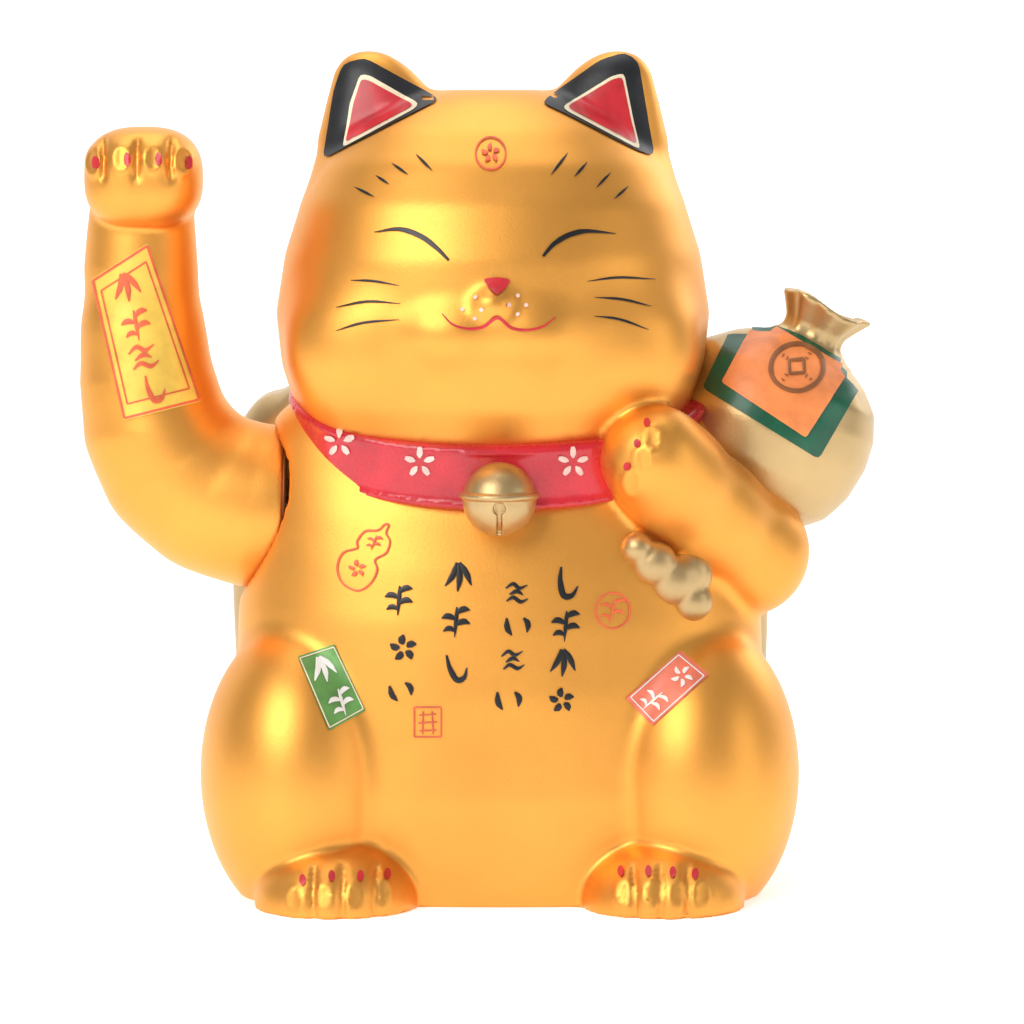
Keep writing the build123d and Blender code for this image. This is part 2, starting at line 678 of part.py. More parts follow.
# ---- Swinging arm ----
arm_outside, paw_outside = swinging_arm()
arm_inside, paw_inside = swinging_arm(ARM_WALL)
arm_seat, paw_seat = swinging_arm(ARM_WALL + SEAT_GAP)

with BuildPart() as arm_shell:
    add(arm_outside)
    add(paw_outside)
    add(arm_inside, mode=Mode.SUBTRACT)
    add(paw_inside, mode=Mode.SUBTRACT)

with BuildPart() as arm_front_shell:
    add(arm_shell.part)
    split(bisect_by=Plane.XZ, keep=Keep.TOP)
finish(arm_front_shell, "arm_front_shell")

with BuildPart() as arm_rear_shell:
    add(arm_shell.part)
    split(bisect_by=Plane.XZ, keep=Keep.BOTTOM)
finish(arm_rear_shell, "arm_rear_shell")

with BuildPart() as arm_hub:
    with BuildSketch(CROSS_PLANE.offset(ARM_START)):
        Circle(2 * SOCKET_RADIUS)
    extrude(amount=-HUB_THICKNESS)
    add(arm_seat, mode=Mode.INTERSECT)
    with BuildSketch(CROSS_PLANE.offset(ARM_START)):
        Circle(HUB_BOSS_RADIUS)
    extrude(amount=-HUB_THICKNESS - HUB_BOSS_LENGTH)
    with BuildSketch(CROSS_PLANE.offset(ARM_START)):
        Circle(AXLE_RADIUS + SEAT_GAP)
    extrude(amount=-HUB_THICKNESS - HUB_BOSS_LENGTH + HUB_BOSS_END, mode=Mode.SUBTRACT)
finish(arm_hub, "arm_hub")

# ---- Axle and pendulum ----
AXLE_OUTER = ARM_START - HUB_THICKNESS - HUB_BOSS_LENGTH + HUB_BOSS_END + CLIP_GAP
AXLE_INNER = FRAME_INNER + AXLE_STICK_OUT
CLIP_STARTS = [FRAME_OUTER - CLIP_GAP - CLIP_THICKNESS, FRAME_INNER + CLIP_GAP]

with BuildPart() as arm_axle:
    with BuildSketch(CROSS_PLANE.offset(AXLE_OUTER)):
        Circle(AXLE_RADIUS)
    extrude(amount=AXLE_INNER - AXLE_OUTER)
    chamfer(arm_axle.edges().filter_by(GeomType.CIRCLE), 0.3)
    for start in CLIP_STARTS:
        with BuildSketch(CROSS_PLANE.offset(start)):
            Circle(AXLE_RADIUS)
            Circle(CLIP_GROOVE_RADIUS, mode=Mode.SUBTRACT)
        extrude(amount=CLIP_THICKNESS, mode=Mode.SUBTRACT)
finish(arm_axle, "arm_axle")

with BuildPart() as axle_clips:
    for start in CLIP_STARTS:
        with BuildSketch(CROSS_PLANE.offset(start)):
            Circle(CLIP_RADIUS)
            Circle(CLIP_GROOVE_RADIUS, mode=Mode.SUBTRACT)
            with Locations((0, -CLIP_RADIUS)):
                Rectangle(1.6 * CLIP_GROOVE_RADIUS, 2 * CLIP_RADIUS, mode=Mode.SUBTRACT)
        extrude(amount=CLIP_THICKNESS)
finish(axle_clips, "axle_clips")

LEVER_START = FRAME_MIDDLE - LEVER_THICKNESS / 2
LEVER_TOP_OF_CUP = MAGNET_BOTTOM + MAGNET_THICKNESS + MAGNET_WALL

with BuildPart() as pendulum_lever:
    with BuildSketch(CROSS_PLANE.offset(FRAME_MIDDLE - LEVER_HUB_LENGTH / 2)):
        Circle(LEVER_HUB_RADIUS)
    extrude(amount=LEVER_HUB_LENGTH)
    with BuildSketch(Plane.XY.offset(LEVER_TOP_OF_CUP - MAGNET_WALL / 2)):
        with Locations((FRAME_MIDDLE, 0)):
            Rectangle(LEVER_THICKNESS, LEVER_WIDTH)
    extrude(amount=AXLE_HEIGHT - LEVER_TOP_OF_CUP + MAGNET_WALL / 2)
    with BuildSketch(Plane.XY.offset(MAGNET_BOTTOM)):
        with Locations((FRAME_MIDDLE, 0)):
            Circle(MAGNET_RADIUS + MAGNET_WALL)
    extrude(amount=MAGNET_THICKNESS + MAGNET_WALL)
    with BuildSketch(Plane.XY.offset(MAGNET_BOTTOM)):
        with Locations((FRAME_MIDDLE, 0)):
            Circle(MAGNET_RADIUS + SEAT_GAP)
    extrude(amount=MAGNET_THICKNESS, mode=Mode.SUBTRACT)
    with BuildSketch(CROSS_PLANE.offset(FRAME_MIDDLE - LEVER_HUB_LENGTH)):
        Circle(AXLE_RADIUS + SEAT_GAP)
    extrude(amount=2 * LEVER_HUB_LENGTH, mode=Mode.SUBTRACT)
finish(pendulum_lever, "pendulum_lever")

with BuildPart() as swing_magnet:
    with BuildSketch(Plane.XY.offset(MAGNET_BOTTOM)):
        with Locations((FRAME_MIDDLE, 0)):
            Circle(MAGNET_RADIUS)
    extrude(amount=MAGNET_THICKNESS)
    chamfer(swing_magnet.edges().group_by(Axis.Z)[0], 0.3)
finish(swing_magnet, "swing_magnet")

with BuildPart() as counterweight:
    with BuildSketch(CROSS_PLANE.offset(FRAME_MIDDLE - WEIGHT_THICKNESS / 2)):
        with Locations((0, -WEIGHT_DROP)):
            Circle(WEIGHT_RADIUS)
    extrude(amount=WEIGHT_THICKNESS)
    chamfer(counterweight.edges().filter_by(GeomType.CIRCLE), 0.8)
    with BuildSketch(Plane.XY.offset(AXLE_HEIGHT - WEIGHT_DROP)):
        with Locations((FRAME_MIDDLE, 0)):
            Rectangle(LEVER_THICKNESS + 2 * SEAT_GAP, LEVER_WIDTH + 2 * SEAT_GAP)
    extrude(amount=2 * WEIGHT_RADIUS, both=True, mode=Mode.SUBTRACT)
    with BuildSketch(Plane.XZ.offset(LEVER_WIDTH / 2)):
        with Locations((FRAME_MIDDLE, AXLE_HEIGHT - WEIGHT_DROP)):
            Circle(SET_SCREW_RADIUS + SEAT_GAP)
    extrude(amount=WEIGHT_RADIUS, mode=Mode.SUBTRACT)
finish(counterweight, "counterweight")

with BuildPart() as weight_screw:
    with BuildSketch(Plane.XZ.offset(LEVER_WIDTH / 2)):
        with Locations((FRAME_MIDDLE, AXLE_HEIGHT - WEIGHT_DROP)):
            Circle(SET_SCREW_RADIUS)
    extrude(amount=WEIGHT_RADIUS - LEVER_WIDTH / 2 - 1.0)
    with BuildSketch(Plane.XZ.offset(WEIGHT_RADIUS - 1.0)):
        with Locations((FRAME_MIDDLE, AXLE_HEIGHT - WEIGHT_DROP)):
            RegularPolygon(0.8, 6)
    extrude(amount=-1.6, mode=Mode.SUBTRACT)
finish(weight_screw, "weight_screw")

# ---- Drive frame and coil ----
FRAME_SCREW_PLACES = [
    (FRAME_MIDDLE + side_x * (FRAME_INNER_WIDTH / 2 - 2.5), side_y * (FLANGE_HALF_LENGTH - 3.5))
    for side_x in (-1, 1)
    for side_y in (-1, 1)
]
FRAME_SPAN = FRAME_INNER - FRAME_OUTER

with BuildPart() as bearing_frame:
    with BuildSketch(Plane.XY.offset(FRAME_FLOOR)):
        with Locations((FRAME_MIDDLE, 0)):
            Rectangle(FRAME_SPAN, 2 * FLANGE_HALF_LENGTH)
        with Locations(*FRAME_SCREW_PLACES):
            Circle(SMALL_SCREW_RADIUS + FIT_GAP / 2, mode=Mode.SUBTRACT)
    extrude(amount=FLANGE_THICKNESS)
    for start in (FRAME_OUTER, FRAME_INNER - UPRIGHT_THICKNESS):
        with BuildSketch(CROSS_PLANE.offset(start)):
            with Locations((0, (FRAME_HEAD + FRAME_FLOOR - AXLE_HEIGHT) / 2)):
                Rectangle(2 * UPRIGHT_HALF_WIDTH, AXLE_HEIGHT + FRAME_HEAD - FRAME_FLOOR)
            Circle(BUSH_RADIUS + SEAT_GAP, mode=Mode.SUBTRACT)
        extrude(amount=UPRIGHT_THICKNESS)
    with BuildSketch(Plane.XY.offset(AXLE_HEIGHT + FRAME_HEAD)):
        with Locations((FRAME_MIDDLE, 0)):
            Rectangle(FRAME_SPAN, 2 * UPRIGHT_HALF_WIDTH)
    extrude(amount=-FRAME_BRACE)
finish(bearing_frame, "bearing_frame")

for bush_name, flange_face, away in (
    ("bush_outer", FRAME_OUTER + UPRIGHT_THICKNESS, -1),
    ("bush_inner", FRAME_INNER - UPRIGHT_THICKNESS, 1),
):
    with BuildPart() as bush:
        with BuildSketch(CROSS_PLANE.offset(flange_face)):
            Circle(BUSH_RADIUS)
        extrude(amount=away * UPRIGHT_THICKNESS)
        with BuildSketch(CROSS_PLANE.offset(flange_face)):
            Circle(BUSH_FLANGE_RADIUS)
        extrude(amount=-away * BUSH_FLANGE)
        with BuildSketch(CROSS_PLANE.offset(flange_face)):
            Circle(AXLE_RADIUS + RUNNING_GAP)
        extrude(amount=2 * UPRIGHT_THICKNESS, both=True, mode=Mode.SUBTRACT)
    finish(bush, bush_name)

with BuildPart() as coil_bobbin:
    with BuildSketch(Plane.XY.offset(COIL_FLOOR)):
        with Locations((FRAME_MIDDLE, 0)):
            Circle(BOBBIN_RADIUS)
    extrude(amount=COIL_HEIGHT)
    with BuildSketch(Plane.XY.offset(COIL_FLOOR + BOBBIN_CHEEK)):
        with Locations((FRAME_MIDDLE, 0)):
            Circle(BOBBIN_RADIUS + 1)
            Circle(BOBBIN_TUBE_RADIUS, mode=Mode.SUBTRACT)
    extrude(amount=COIL_HEIGHT - 2 * BOBBIN_CHEEK, mode=Mode.SUBTRACT)
    with BuildSketch(Plane.XY.offset(COIL_FLOOR)):
        with Locations((FRAME_MIDDLE, 0)):
            Circle(CORE_RADIUS + SEAT_GAP)
    extrude(amount=COIL_HEIGHT, mode=Mode.SUBTRACT)
finish(coil_bobbin, "coil_bobbin")

with BuildPart() as coil_winding:
    with BuildSketch(Plane.XY.offset(COIL_FLOOR + BOBBIN_CHEEK)):
        with Locations((FRAME_MIDDLE, 0)):
            Circle(COIL_RADIUS)
            Circle(BOBBIN_TUBE_RADIUS, mode=Mode.SUBTRACT)
    extrude(amount=COIL_HEIGHT - 2 * BOBBIN_CHEEK)
finish(coil_winding, "coil_winding")

with BuildPart() as coil_core:
    with BuildSketch(Plane.XY.offset(COIL_FLOOR)):
        with Locations((FRAME_MIDDLE, 0)):
            Circle(CORE_RADIUS)
    extrude(amount=COIL_HEIGHT)
finish(coil_core, "coil_core")

small_screw = screw(SMALL_SCREW_RADIUS, SMALL_SCREW_HEAD_RADIUS, SMALL_SCREW_HEAD, FRAME_SCREW_LENGTH)
board_screw = screw(SMALL_SCREW_RADIUS, SMALL_SCREW_HEAD_RADIUS, SMALL_SCREW_HEAD, BOARD_SCREW_LENGTH)
base_screw = screw(SCREW_RADIUS, SCREW_HEAD_RADIUS, SCREW_HEAD, BASE_SCREW_LENGTH)

with BuildPart() as frame_screws:
    with Locations(*[(x, y, COIL_FLOOR) for x, y in FRAME_SCREW_PLACES]):
        add(small_screw)
finish(frame_screws, "frame_screws")

with BuildPart() as base_screws:
    with Locations(*[Location((x, y, SCREW_RECESS), (180, 0, 0)) for x, y in BOSS_PLACES]):
        add(base_screw)
finish(base_screws, "base_screws")

# ---- Base plate with the battery compartment ----
BOARD_SCREW_PLACES = [(BOARD_X + x, BOARD_Y + y) for x, y in BOARD_SCREW_SPOTS]
KNOB_START_Y = SWITCH_Y - KNOB_TRAVEL / 2  # knob's middle at the off end
PLATE_INSET = WALL + FIT_GAP
PLATE_REACH = [
    size * outline[0][0] - PLATE_INSET
    for size, outline in (
        (TORSO_HALF_WIDTH, TORSO_FLANK),
        (TORSO_FRONT, TORSO_CHEST),
        (TORSO_BACK, TORSO_SPINE),
    )
]
LEAD_PASSES = [(side * CELL_PITCH / 2, LEAD_HEIGHT) for side in (-1, 1)]
SIDE_PLANE = Plane(origin=(0, 0, 0), x_dir=(0, 1, 0), z_dir=(1, 0, 0))

with BuildPart() as base_plate:
    with BuildSketch():
        with BuildLine():
            Spline(*level_outline(*PLATE_REACH, TORSO_POWER), periodic=True)
        make_face()
    extrude(amount=BASE_THICKNESS)
    with BuildSketch():
        with Locations((COMPARTMENT_MIDDLE, 0)):
            Rectangle(
                CELL_ROOM + 2 * (COMPARTMENT_WALL + COMPARTMENT_FOOT),
                2 * (CELL_PITCH + COMPARTMENT_WALL + COMPARTMENT_FOOT),
            )
    extrude(amount=COMPARTMENT_FOOT_TOP)
    with BuildSketch():
        with Locations((COMPARTMENT_MIDDLE, 0)):
            Rectangle(CELL_ROOM + 2 * COMPARTMENT_WALL, 2 * (CELL_PITCH + COMPARTMENT_WALL))
    extrude(amount=COMPARTMENT_CEILING + COMPARTMENT_WALL)
    with BuildSketch():
        with Locations((COMPARTMENT_MIDDLE, HINGE_Y)):
            Rectangle(BARREL_LENGTH + 4 * HINGE_PIN_LENGTH, 4 * BARREL_RADIUS)
    extrude(amount=HINGE_BLOCK_TOP)
    with BuildSketch():
        with Locations((FRAME_MIDDLE, 0)):
            Rectangle(FRAME_SPAN, 2 * FLANGE_HALF_LENGTH)
    extrude(amount=FRAME_FLOOR)
    with BuildSketch():
        with Locations(*BOARD_SCREW_PLACES):
            Circle(POST_RADIUS)
    extrude(amount=BOARD_HEIGHT)
    # room for the cells, and the recess the door closes into
    with BuildSketch():
        with Locations((COMPARTMENT_MIDDLE, 0)):
            Rectangle(CELL_ROOM, 2 * CELL_PITCH)
    extrude(amount=COMPARTMENT_CEILING, mode=Mode.SUBTRACT)
    with BuildSketch():
        with Locations((COMPARTMENT_MIDDLE, 0)):
            Rectangle(DOOR_LENGTH + 2 * FIT_GAP, DOOR_WIDTH + 2 * FIT_GAP)
    extrude(amount=DOOR_TOP + DOOR_SEAT_GAP, mode=Mode.SUBTRACT)
    with BuildSketch():
        with Locations((COMPARTMENT_MIDDLE, -DOOR_WIDTH / 2 - (FIT_GAP + DOOR_SWEEP) / 2)):
            Rectangle(DOOR_LENGTH + 2 * FIT_GAP, FIT_GAP + DOOR_SWEEP)
    extrude(amount=HINGE_Z, mode=Mode.SUBTRACT)
    # hinge: room for the barrel, and holes for its pins
    with BuildSketch(SIDE_PLANE.offset(COMPARTMENT_MIDDLE)):
        with Locations((HINGE_Y, HINGE_Z)):
            Circle(BARREL_RADIUS + FIT_GAP)
        with Locations((HINGE_Y, HINGE_Z / 2)):
            Rectangle(2 * (BARREL_RADIUS + FIT_GAP), HINGE_Z)
        with Locations((HINGE_Y + BARREL_OUT, (DOOR_TOP + DOOR_SEAT_GAP) / 2)):
            Rectangle(2 * BARREL_OUT, DOOR_TOP + DOOR_SEAT_GAP)
    extrude(amount=BARREL_LENGTH / 2 + FIT_GAP, both=True, mode=Mode.SUBTRACT)
    with BuildSketch(SIDE_PLANE.offset(COMPARTMENT_MIDDLE)):
        with Locations((HINGE_Y, HINGE_Z)):
            Circle(HINGE_PIN_RADIUS + HINGE_RUNNING_GAP)
    extrude(amount=BARREL_LENGTH / 2 + HINGE_PIN_LENGTH + FIT_GAP, both=True, mode=Mode.SUBTRACT)
    # fingertip groove beside the door's free edge
    with BuildSketch():
        with Locations((COMPARTMENT_MIDDLE, DOOR_WIDTH / 2)):
            Ellipse(7, 4)
    extrude(amount=1.4, mode=Mode.SUBTRACT)
    # slot for the switch knob, and passages for the leads
    with BuildSketch():
        with Locations((SWITCH_X, SWITCH_Y)):
            Rectangle(KNOB_STEM[0] + 2 * FIT_GAP, KNOB_STEM[1] + KNOB_TRAVEL + 2 * FIT_GAP)
    extrude(amount=BASE_THICKNESS, mode=Mode.SUBTRACT)
    with BuildSketch(SIDE_PLANE.offset(COMPARTMENT_START)):
        with Locations(*LEAD_PASSES):
            Circle(LEAD_HOLE_RADIUS)
    extrude(amount=-2 * COMPARTMENT_WALL, mode=Mode.SUBTRACT)
    # screw holes
    with BuildSketch():
        with Locations(*BOSS_PLACES):
            Circle(SCREW_RADIUS + FIT_GAP)
    extrude(amount=BASE_THICKNESS, mode=Mode.SUBTRACT)
    with BuildSketch():
        with Locations(*BOSS_PLACES):
            Circle(SCREW_HEAD_RADIUS + FIT_GAP)
    extrude(amount=SCREW_RECESS, mode=Mode.SUBTRACT)
    with BuildSketch(Plane.XY.offset(FRAME_FLOOR)):
        with Locations(*FRAME_SCREW_PLACES):
            Circle(SMALL_SCREW_RADIUS + SEAT_GAP)
    extrude(amount=-(FRAME_SCREW_LENGTH - FLANGE_THICKNESS + FIT_GAP), mode=Mode.SUBTRACT)
    with BuildSketch(Plane.XY.offset(BOARD_HEIGHT)):
        with Locations(*BOARD_SCREW_PLACES):
            Circle(SMALL_SCREW_RADIUS + SEAT_GAP)
    extrude(amount=-(BOARD_SCREW_LENGTH - BOARD_SIZE[2] + FIT_GAP), mode=Mode.SUBTRACT)
finish(base_plate, "base_plate")

with BuildPart() as battery_door:
    with BuildSketch(Plane.XY.offset(DOOR_RECESS)):
        with Locations((COMPARTMENT_MIDDLE, 0)):
            Rectangle(DOOR_LENGTH, DOOR_WIDTH)
        with Locations((COMPARTMENT_MIDDLE, HINGE_Y / 2 - DOOR_WIDTH / 4)):
            Rectangle(BARREL_LENGTH, BARREL_OUT)
    extrude(amount=DOOR_THICKNESS)
    for rib in (-1, 0, 1):
        with BuildSketch(Plane.XY.offset(DOOR_RECESS)):
            with Locations((COMPARTMENT_MIDDLE + rib * 6, DOOR_WIDTH / 2 - 7)):
                Rectangle(1.2, 8)
        extrude(amount=0.4, mode=Mode.SUBTRACT)
    with BuildSketch(SIDE_PLANE.offset(COMPARTMENT_MIDDLE)):
        with Locations((HINGE_Y, HINGE_Z)):
            Circle(BARREL_RADIUS)
    extrude(amount=BARREL_LENGTH / 2, both=True)
    with BuildSketch(SIDE_PLANE.offset(COMPARTMENT_MIDDLE)):
        with Locations((HINGE_Y, HINGE_Z)):
            Circle(HINGE_PIN_RADIUS)
    extrude(amount=BARREL_LENGTH / 2 + HINGE_PIN_LENGTH, both=True)
finish(battery_door, "battery_door")

# ---- Cells and contacts ----
PLUS_END = COMPARTMENT_START + CONTACT_THICKNESS
for cell_name, side in (("battery_cell_1", -1), ("battery_cell_2", 1)):
    cell_start = PLUS_END + CELL_CAP if side > 0 else PLUS_END + SPRING_LENGTH
    with BuildPart() as cell:
        with BuildSketch(SIDE_PLANE.offset(cell_start)):
            with Locations((side * CELL_PITCH / 2, CELL_HEIGHT)):
                Circle(CELL_RADIUS)
        extrude(amount=CELL_LENGTH)
        fillet(cell.edges().filter_by(GeomType.CIRCLE), 0.6)
        cap_face = cell_start + (CELL_LENGTH if side < 0 else 0)
        with BuildSketch(SIDE_PLANE.offset(cap_face)):
            with Locations((side * CELL_PITCH / 2, CELL_HEIGHT)):
                Circle(CELL_CAP_RADIUS)
        extrude(amount=-side * CELL_CAP)
    finish(cell, cell_name)

spring_shape = coil_spring(SPRING_LENGTH)

with BuildPart() as contact_spring:
    with BuildSketch(SIDE_PLANE.offset(COMPARTMENT_START)):
        with Locations((-CELL_PITCH / 2, CELL_HEIGHT)):
            Rectangle(CONTACT_SIZE, CONTACT_SIZE + 2)
    extrude(amount=CONTACT_THICKNESS)
    with Locations((PLUS_END, -CELL_PITCH / 2, CELL_HEIGHT)):
        add(spring_shape)
finish(contact_spring, "contact_spring")

with BuildPart() as contact_plate:
    with BuildSketch(SIDE_PLANE.offset(COMPARTMENT_START)):
        with Locations((CELL_PITCH / 2, CELL_HEIGHT)):
            Rectangle(CONTACT_SIZE, CONTACT_SIZE + 2)
    extrude(amount=CONTACT_THICKNESS)
finish(contact_plate, "contact_plate")

with BuildPart() as contact_bridge:
    with BuildSketch(SIDE_PLANE.offset(COMPARTMENT_END)):
        with Locations((0, CELL_HEIGHT)):
            Rectangle(CELL_PITCH + CONTACT_SIZE, CONTACT_SIZE)
    extrude(amount=-CONTACT_THICKNESS)
    with Locations((COMPARTMENT_END - CONTACT_THICKNESS, CELL_PITCH / 2, CELL_HEIGHT)):
        add(Rot(0, 0, 180) * spring_shape)
finish(contact_bridge, "contact_bridge")

# ---- Circuit board, switch and leads ----
with BuildPart() as circuit_board:
    with BuildSketch(Plane.XY.offset(BOARD_HEIGHT)):
        with Locations((BOARD_X, BOARD_Y)):
            Rectangle(BOARD_SIZE[0], BOARD_SIZE[1])
        with Locations(*BOARD_SCREW_PLACES):
            Circle(SMALL_SCREW_RADIUS + FIT_GAP / 2, mode=Mode.SUBTRACT)
    extrude(amount=BOARD_SIZE[2])
finish(circuit_board, "circuit_board")

with BuildPart() as board_screws:
    with Locations(*[(x, y, BOARD_TOP) for x, y in BOARD_SCREW_PLACES]):
        add(board_screw)
finish(board_screws, "board_screws")

with BuildPart() as transistor:
    with BuildSketch(Plane.XY.offset(BOARD_TOP)):
        with Locations((BOARD_X - 1, BOARD_Y)):
            Circle(TRANSISTOR_RADIUS)
        with Locations((BOARD_X - 1, BOARD_Y - 2 * TRANSISTOR_RADIUS + 1)):
            Rectangle(3 * TRANSISTOR_RADIUS, 2 * TRANSISTOR_RADIUS, mode=Mode.SUBTRACT)
    extrude(amount=TRANSISTOR_HEIGHT)
finish(transistor, "transistor")

with BuildPart() as capacitor:
    with BuildSketch(Plane.XY.offset(BOARD_TOP)):
        with Locations((BOARD_X + 2, BOARD_Y - 11)):
            Circle(CAPACITOR_RADIUS)
    extrude(amount=CAPACITOR_HEIGHT)
    fillet(capacitor.edges().filter_by(GeomType.CIRCLE), 0.4)
finish(capacitor, "capacitor")

POCKET_TOP = BASE_THICKNESS + FIT_GAP + KNOB_FLANGE[2] + FIT_GAP
with BuildPart() as switch_body:
    with BuildSketch(Plane.XY.offset(BASE_THICKNESS)):
        with Locations((SWITCH_X, SWITCH_Y)):
            Rectangle(SWITCH_SIZE[0], SWITCH_SIZE[1])
    extrude(amount=SWITCH_SIZE[2])
    with BuildSketch(Plane.XY.offset(BASE_THICKNESS)):
        with Locations((SWITCH_X, SWITCH_Y)):
            Rectangle(KNOB_FLANGE[0] + 2 * FIT_GAP, KNOB_FLANGE[1] + KNOB_TRAVEL + 2 * FIT_GAP)
    extrude(amount=POCKET_TOP - BASE_THICKNESS, mode=Mode.SUBTRACT)
finish(switch_body, "switch_body")

with BuildPart() as switch_knob:
    with BuildSketch(Plane.XY.offset(KNOB_RECESS)):
        with Locations((SWITCH_X, KNOB_START_Y)):
            Rectangle(*KNOB_STEM)
    extrude(amount=BASE_THICKNESS + FIT_GAP - KNOB_RECESS)
    with BuildSketch(Plane.XY.offset(BASE_THICKNESS + FIT_GAP)):
        with Locations((SWITCH_X, KNOB_START_Y)):
            Rectangle(KNOB_FLANGE[0], KNOB_FLANGE[1])
    extrude(amount=KNOB_FLANGE[2])
finish(switch_knob, "switch_knob")

WINDING_MIDDLE = COIL_FLOOR + COIL_HEIGHT / 2
LEAD_PATHS = {
    "lead_red": [
        (COMPARTMENT_START, CELL_PITCH / 2, LEAD_HEIGHT),
        (BOARD_X + 4, CELL_PITCH / 2, LEAD_HEIGHT),
        (BOARD_X + 4, CELL_PITCH / 2, BOARD_TOP),
    ],
    "lead_black": [
        (COMPARTMENT_START, -CELL_PITCH / 2, LEAD_HEIGHT),
        (BOARD_X + 4, -CELL_PITCH / 2, LEAD_HEIGHT),
        (BOARD_X + 4, -CELL_PITCH / 2, BOARD_TOP),
    ],
    "lead_switch": [
        (SWITCH_X, SWITCH_Y, BASE_THICKNESS + SWITCH_SIZE[2]),
        (SWITCH_X, SWITCH_Y, LEAD_HEIGHT),
        (SWITCH_X, BOARD_Y + 13, LEAD_HEIGHT),
        (SWITCH_X, BOARD_Y + 13, BOARD_TOP),
    ],
    "lead_coil": [
        (FRAME_MIDDLE, -COIL_RADIUS, WINDING_MIDDLE),
        (FRAME_MIDDLE, -FLANGE_HALF_LENGTH - 2, WINDING_MIDDLE),
        (BOARD_X - 3, -FLANGE_HALF_LENGTH - 2, WINDING_MIDDLE),
        (BOARD_X - 3, -FLANGE_HALF_LENGTH - 2, BOARD_TOP),
    ],
}
for lead_name, corners in LEAD_PATHS.items():
    start_direction = Vector(*corners[1]) - Vector(*corners[0])
    with BuildPart() as lead:
        with BuildLine():
            FilletPolyline(*corners, radius=2.0)
        with BuildSketch(Plane(origin=corners[0], z_dir=start_direction)):
            Circle(LEAD_RADIUS)
        sweep()
    finish(lead, lead_name)
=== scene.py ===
"""Looks of the beckoning cat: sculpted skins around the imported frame, with painted detail, floor, light and camera."""

import json
import math

import bpy
import numpy as np
import openvdb
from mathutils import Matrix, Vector
from mathutils.bvhtree import BVHTree
from mathutils.geometry import delaunay_2d_cdt


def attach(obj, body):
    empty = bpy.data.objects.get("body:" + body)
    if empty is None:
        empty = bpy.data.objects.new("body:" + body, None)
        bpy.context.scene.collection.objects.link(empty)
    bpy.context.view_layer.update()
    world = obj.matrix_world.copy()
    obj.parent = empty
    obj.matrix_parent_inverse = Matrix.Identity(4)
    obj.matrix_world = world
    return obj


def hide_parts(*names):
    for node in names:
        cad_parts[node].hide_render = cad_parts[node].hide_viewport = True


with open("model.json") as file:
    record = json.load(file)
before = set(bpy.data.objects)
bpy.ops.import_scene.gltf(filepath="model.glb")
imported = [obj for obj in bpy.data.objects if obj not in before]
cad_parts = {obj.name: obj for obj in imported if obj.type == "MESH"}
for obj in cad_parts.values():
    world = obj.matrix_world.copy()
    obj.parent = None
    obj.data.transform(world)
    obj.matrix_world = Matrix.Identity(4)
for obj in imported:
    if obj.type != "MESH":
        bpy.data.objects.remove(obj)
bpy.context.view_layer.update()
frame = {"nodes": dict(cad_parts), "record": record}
MM = 0.001
VIEW_POINT = np.array((3.5, -1293.6, 236.0))  # where the painted outlines are laid on from, in mm
AXLE = 108.5
BAG_TILT = math.radians(25)
BAG_CENTRE = (78.0, 6.0, 132.0)
COLLAR_TILT = math.radians(18)


# ---- Distance fields, in millimetres: p is an array whose last axis is x, y, z ----
def smin(a, b, k):
    h = np.clip(0.5 + 0.5 * (b - a) / k, 0, 1)
    return b * (1 - h) + a * h - k * h * (1 - h)


def smax(a, b, k):
    return -smin(-a, -b, k)


def ellipsoid(p, centre, radii):
    q = (p - np.array(centre, np.float32)) / np.array(radii, np.float32)
    near = np.sqrt((q**2).sum(-1)) + 1e-6
    steep = np.sqrt(((q / np.array(radii, np.float32)) ** 2).sum(-1)) + 1e-6
    return near * (near - 1) / steep


def capsule(p, a, b, ra, rb):
    a, b = np.array(a, np.float32), np.array(b, np.float32)
    along = b - a
    h = np.clip(((p - a) @ along) / (along @ along), 0, 1)
    return np.sqrt(((p - a - h[..., None] * along) ** 2).sum(-1)) - (ra + (rb - ra) * h)


def chain(p, stations, k):
    d = None
    for (*a, ra), (*b, rb) in zip(stations, stations[1:]):
        piece = capsule(p, a, b, ra, rb)
        d = piece if d is None else smin(d, piece, k)
    return d


def smooth_table(rows, blur):
    rows = np.array(rows, float)
    z = np.arange(rows[0, 0] - 20, rows[-1, 0] + 20, 0.5)
    kernel = np.exp(-((np.arange(-30, 31) * 0.5 / blur) ** 2))
    kernel /= kernel.sum()
    columns = [np.interp(z, rows[:, 0], rows[:, i]) for i in range(1, rows.shape[1])]
    return z, [np.convolve(np.pad(c, 30, mode="edge"), kernel, "valid") for c in columns]


def stack(p, table, power):
    """Level sections with a half width, a front and a back depth."""
    z, (wide, fore, aft) = table
    w = np.interp(p[..., 2], z, wide)
    d = np.where(p[..., 1] < 0, np.interp(p[..., 2], z, fore), np.interp(p[..., 2], z, aft))
    g = ((np.abs(p[..., 0]) / w) ** power + (np.abs(p[..., 1]) / d) ** power) ** (1 / power) + 1e-4
    rho = np.hypot(p[..., 0], p[..., 1])
    return np.maximum(rho, 0.4 * w * g) * (1 - 1 / g)


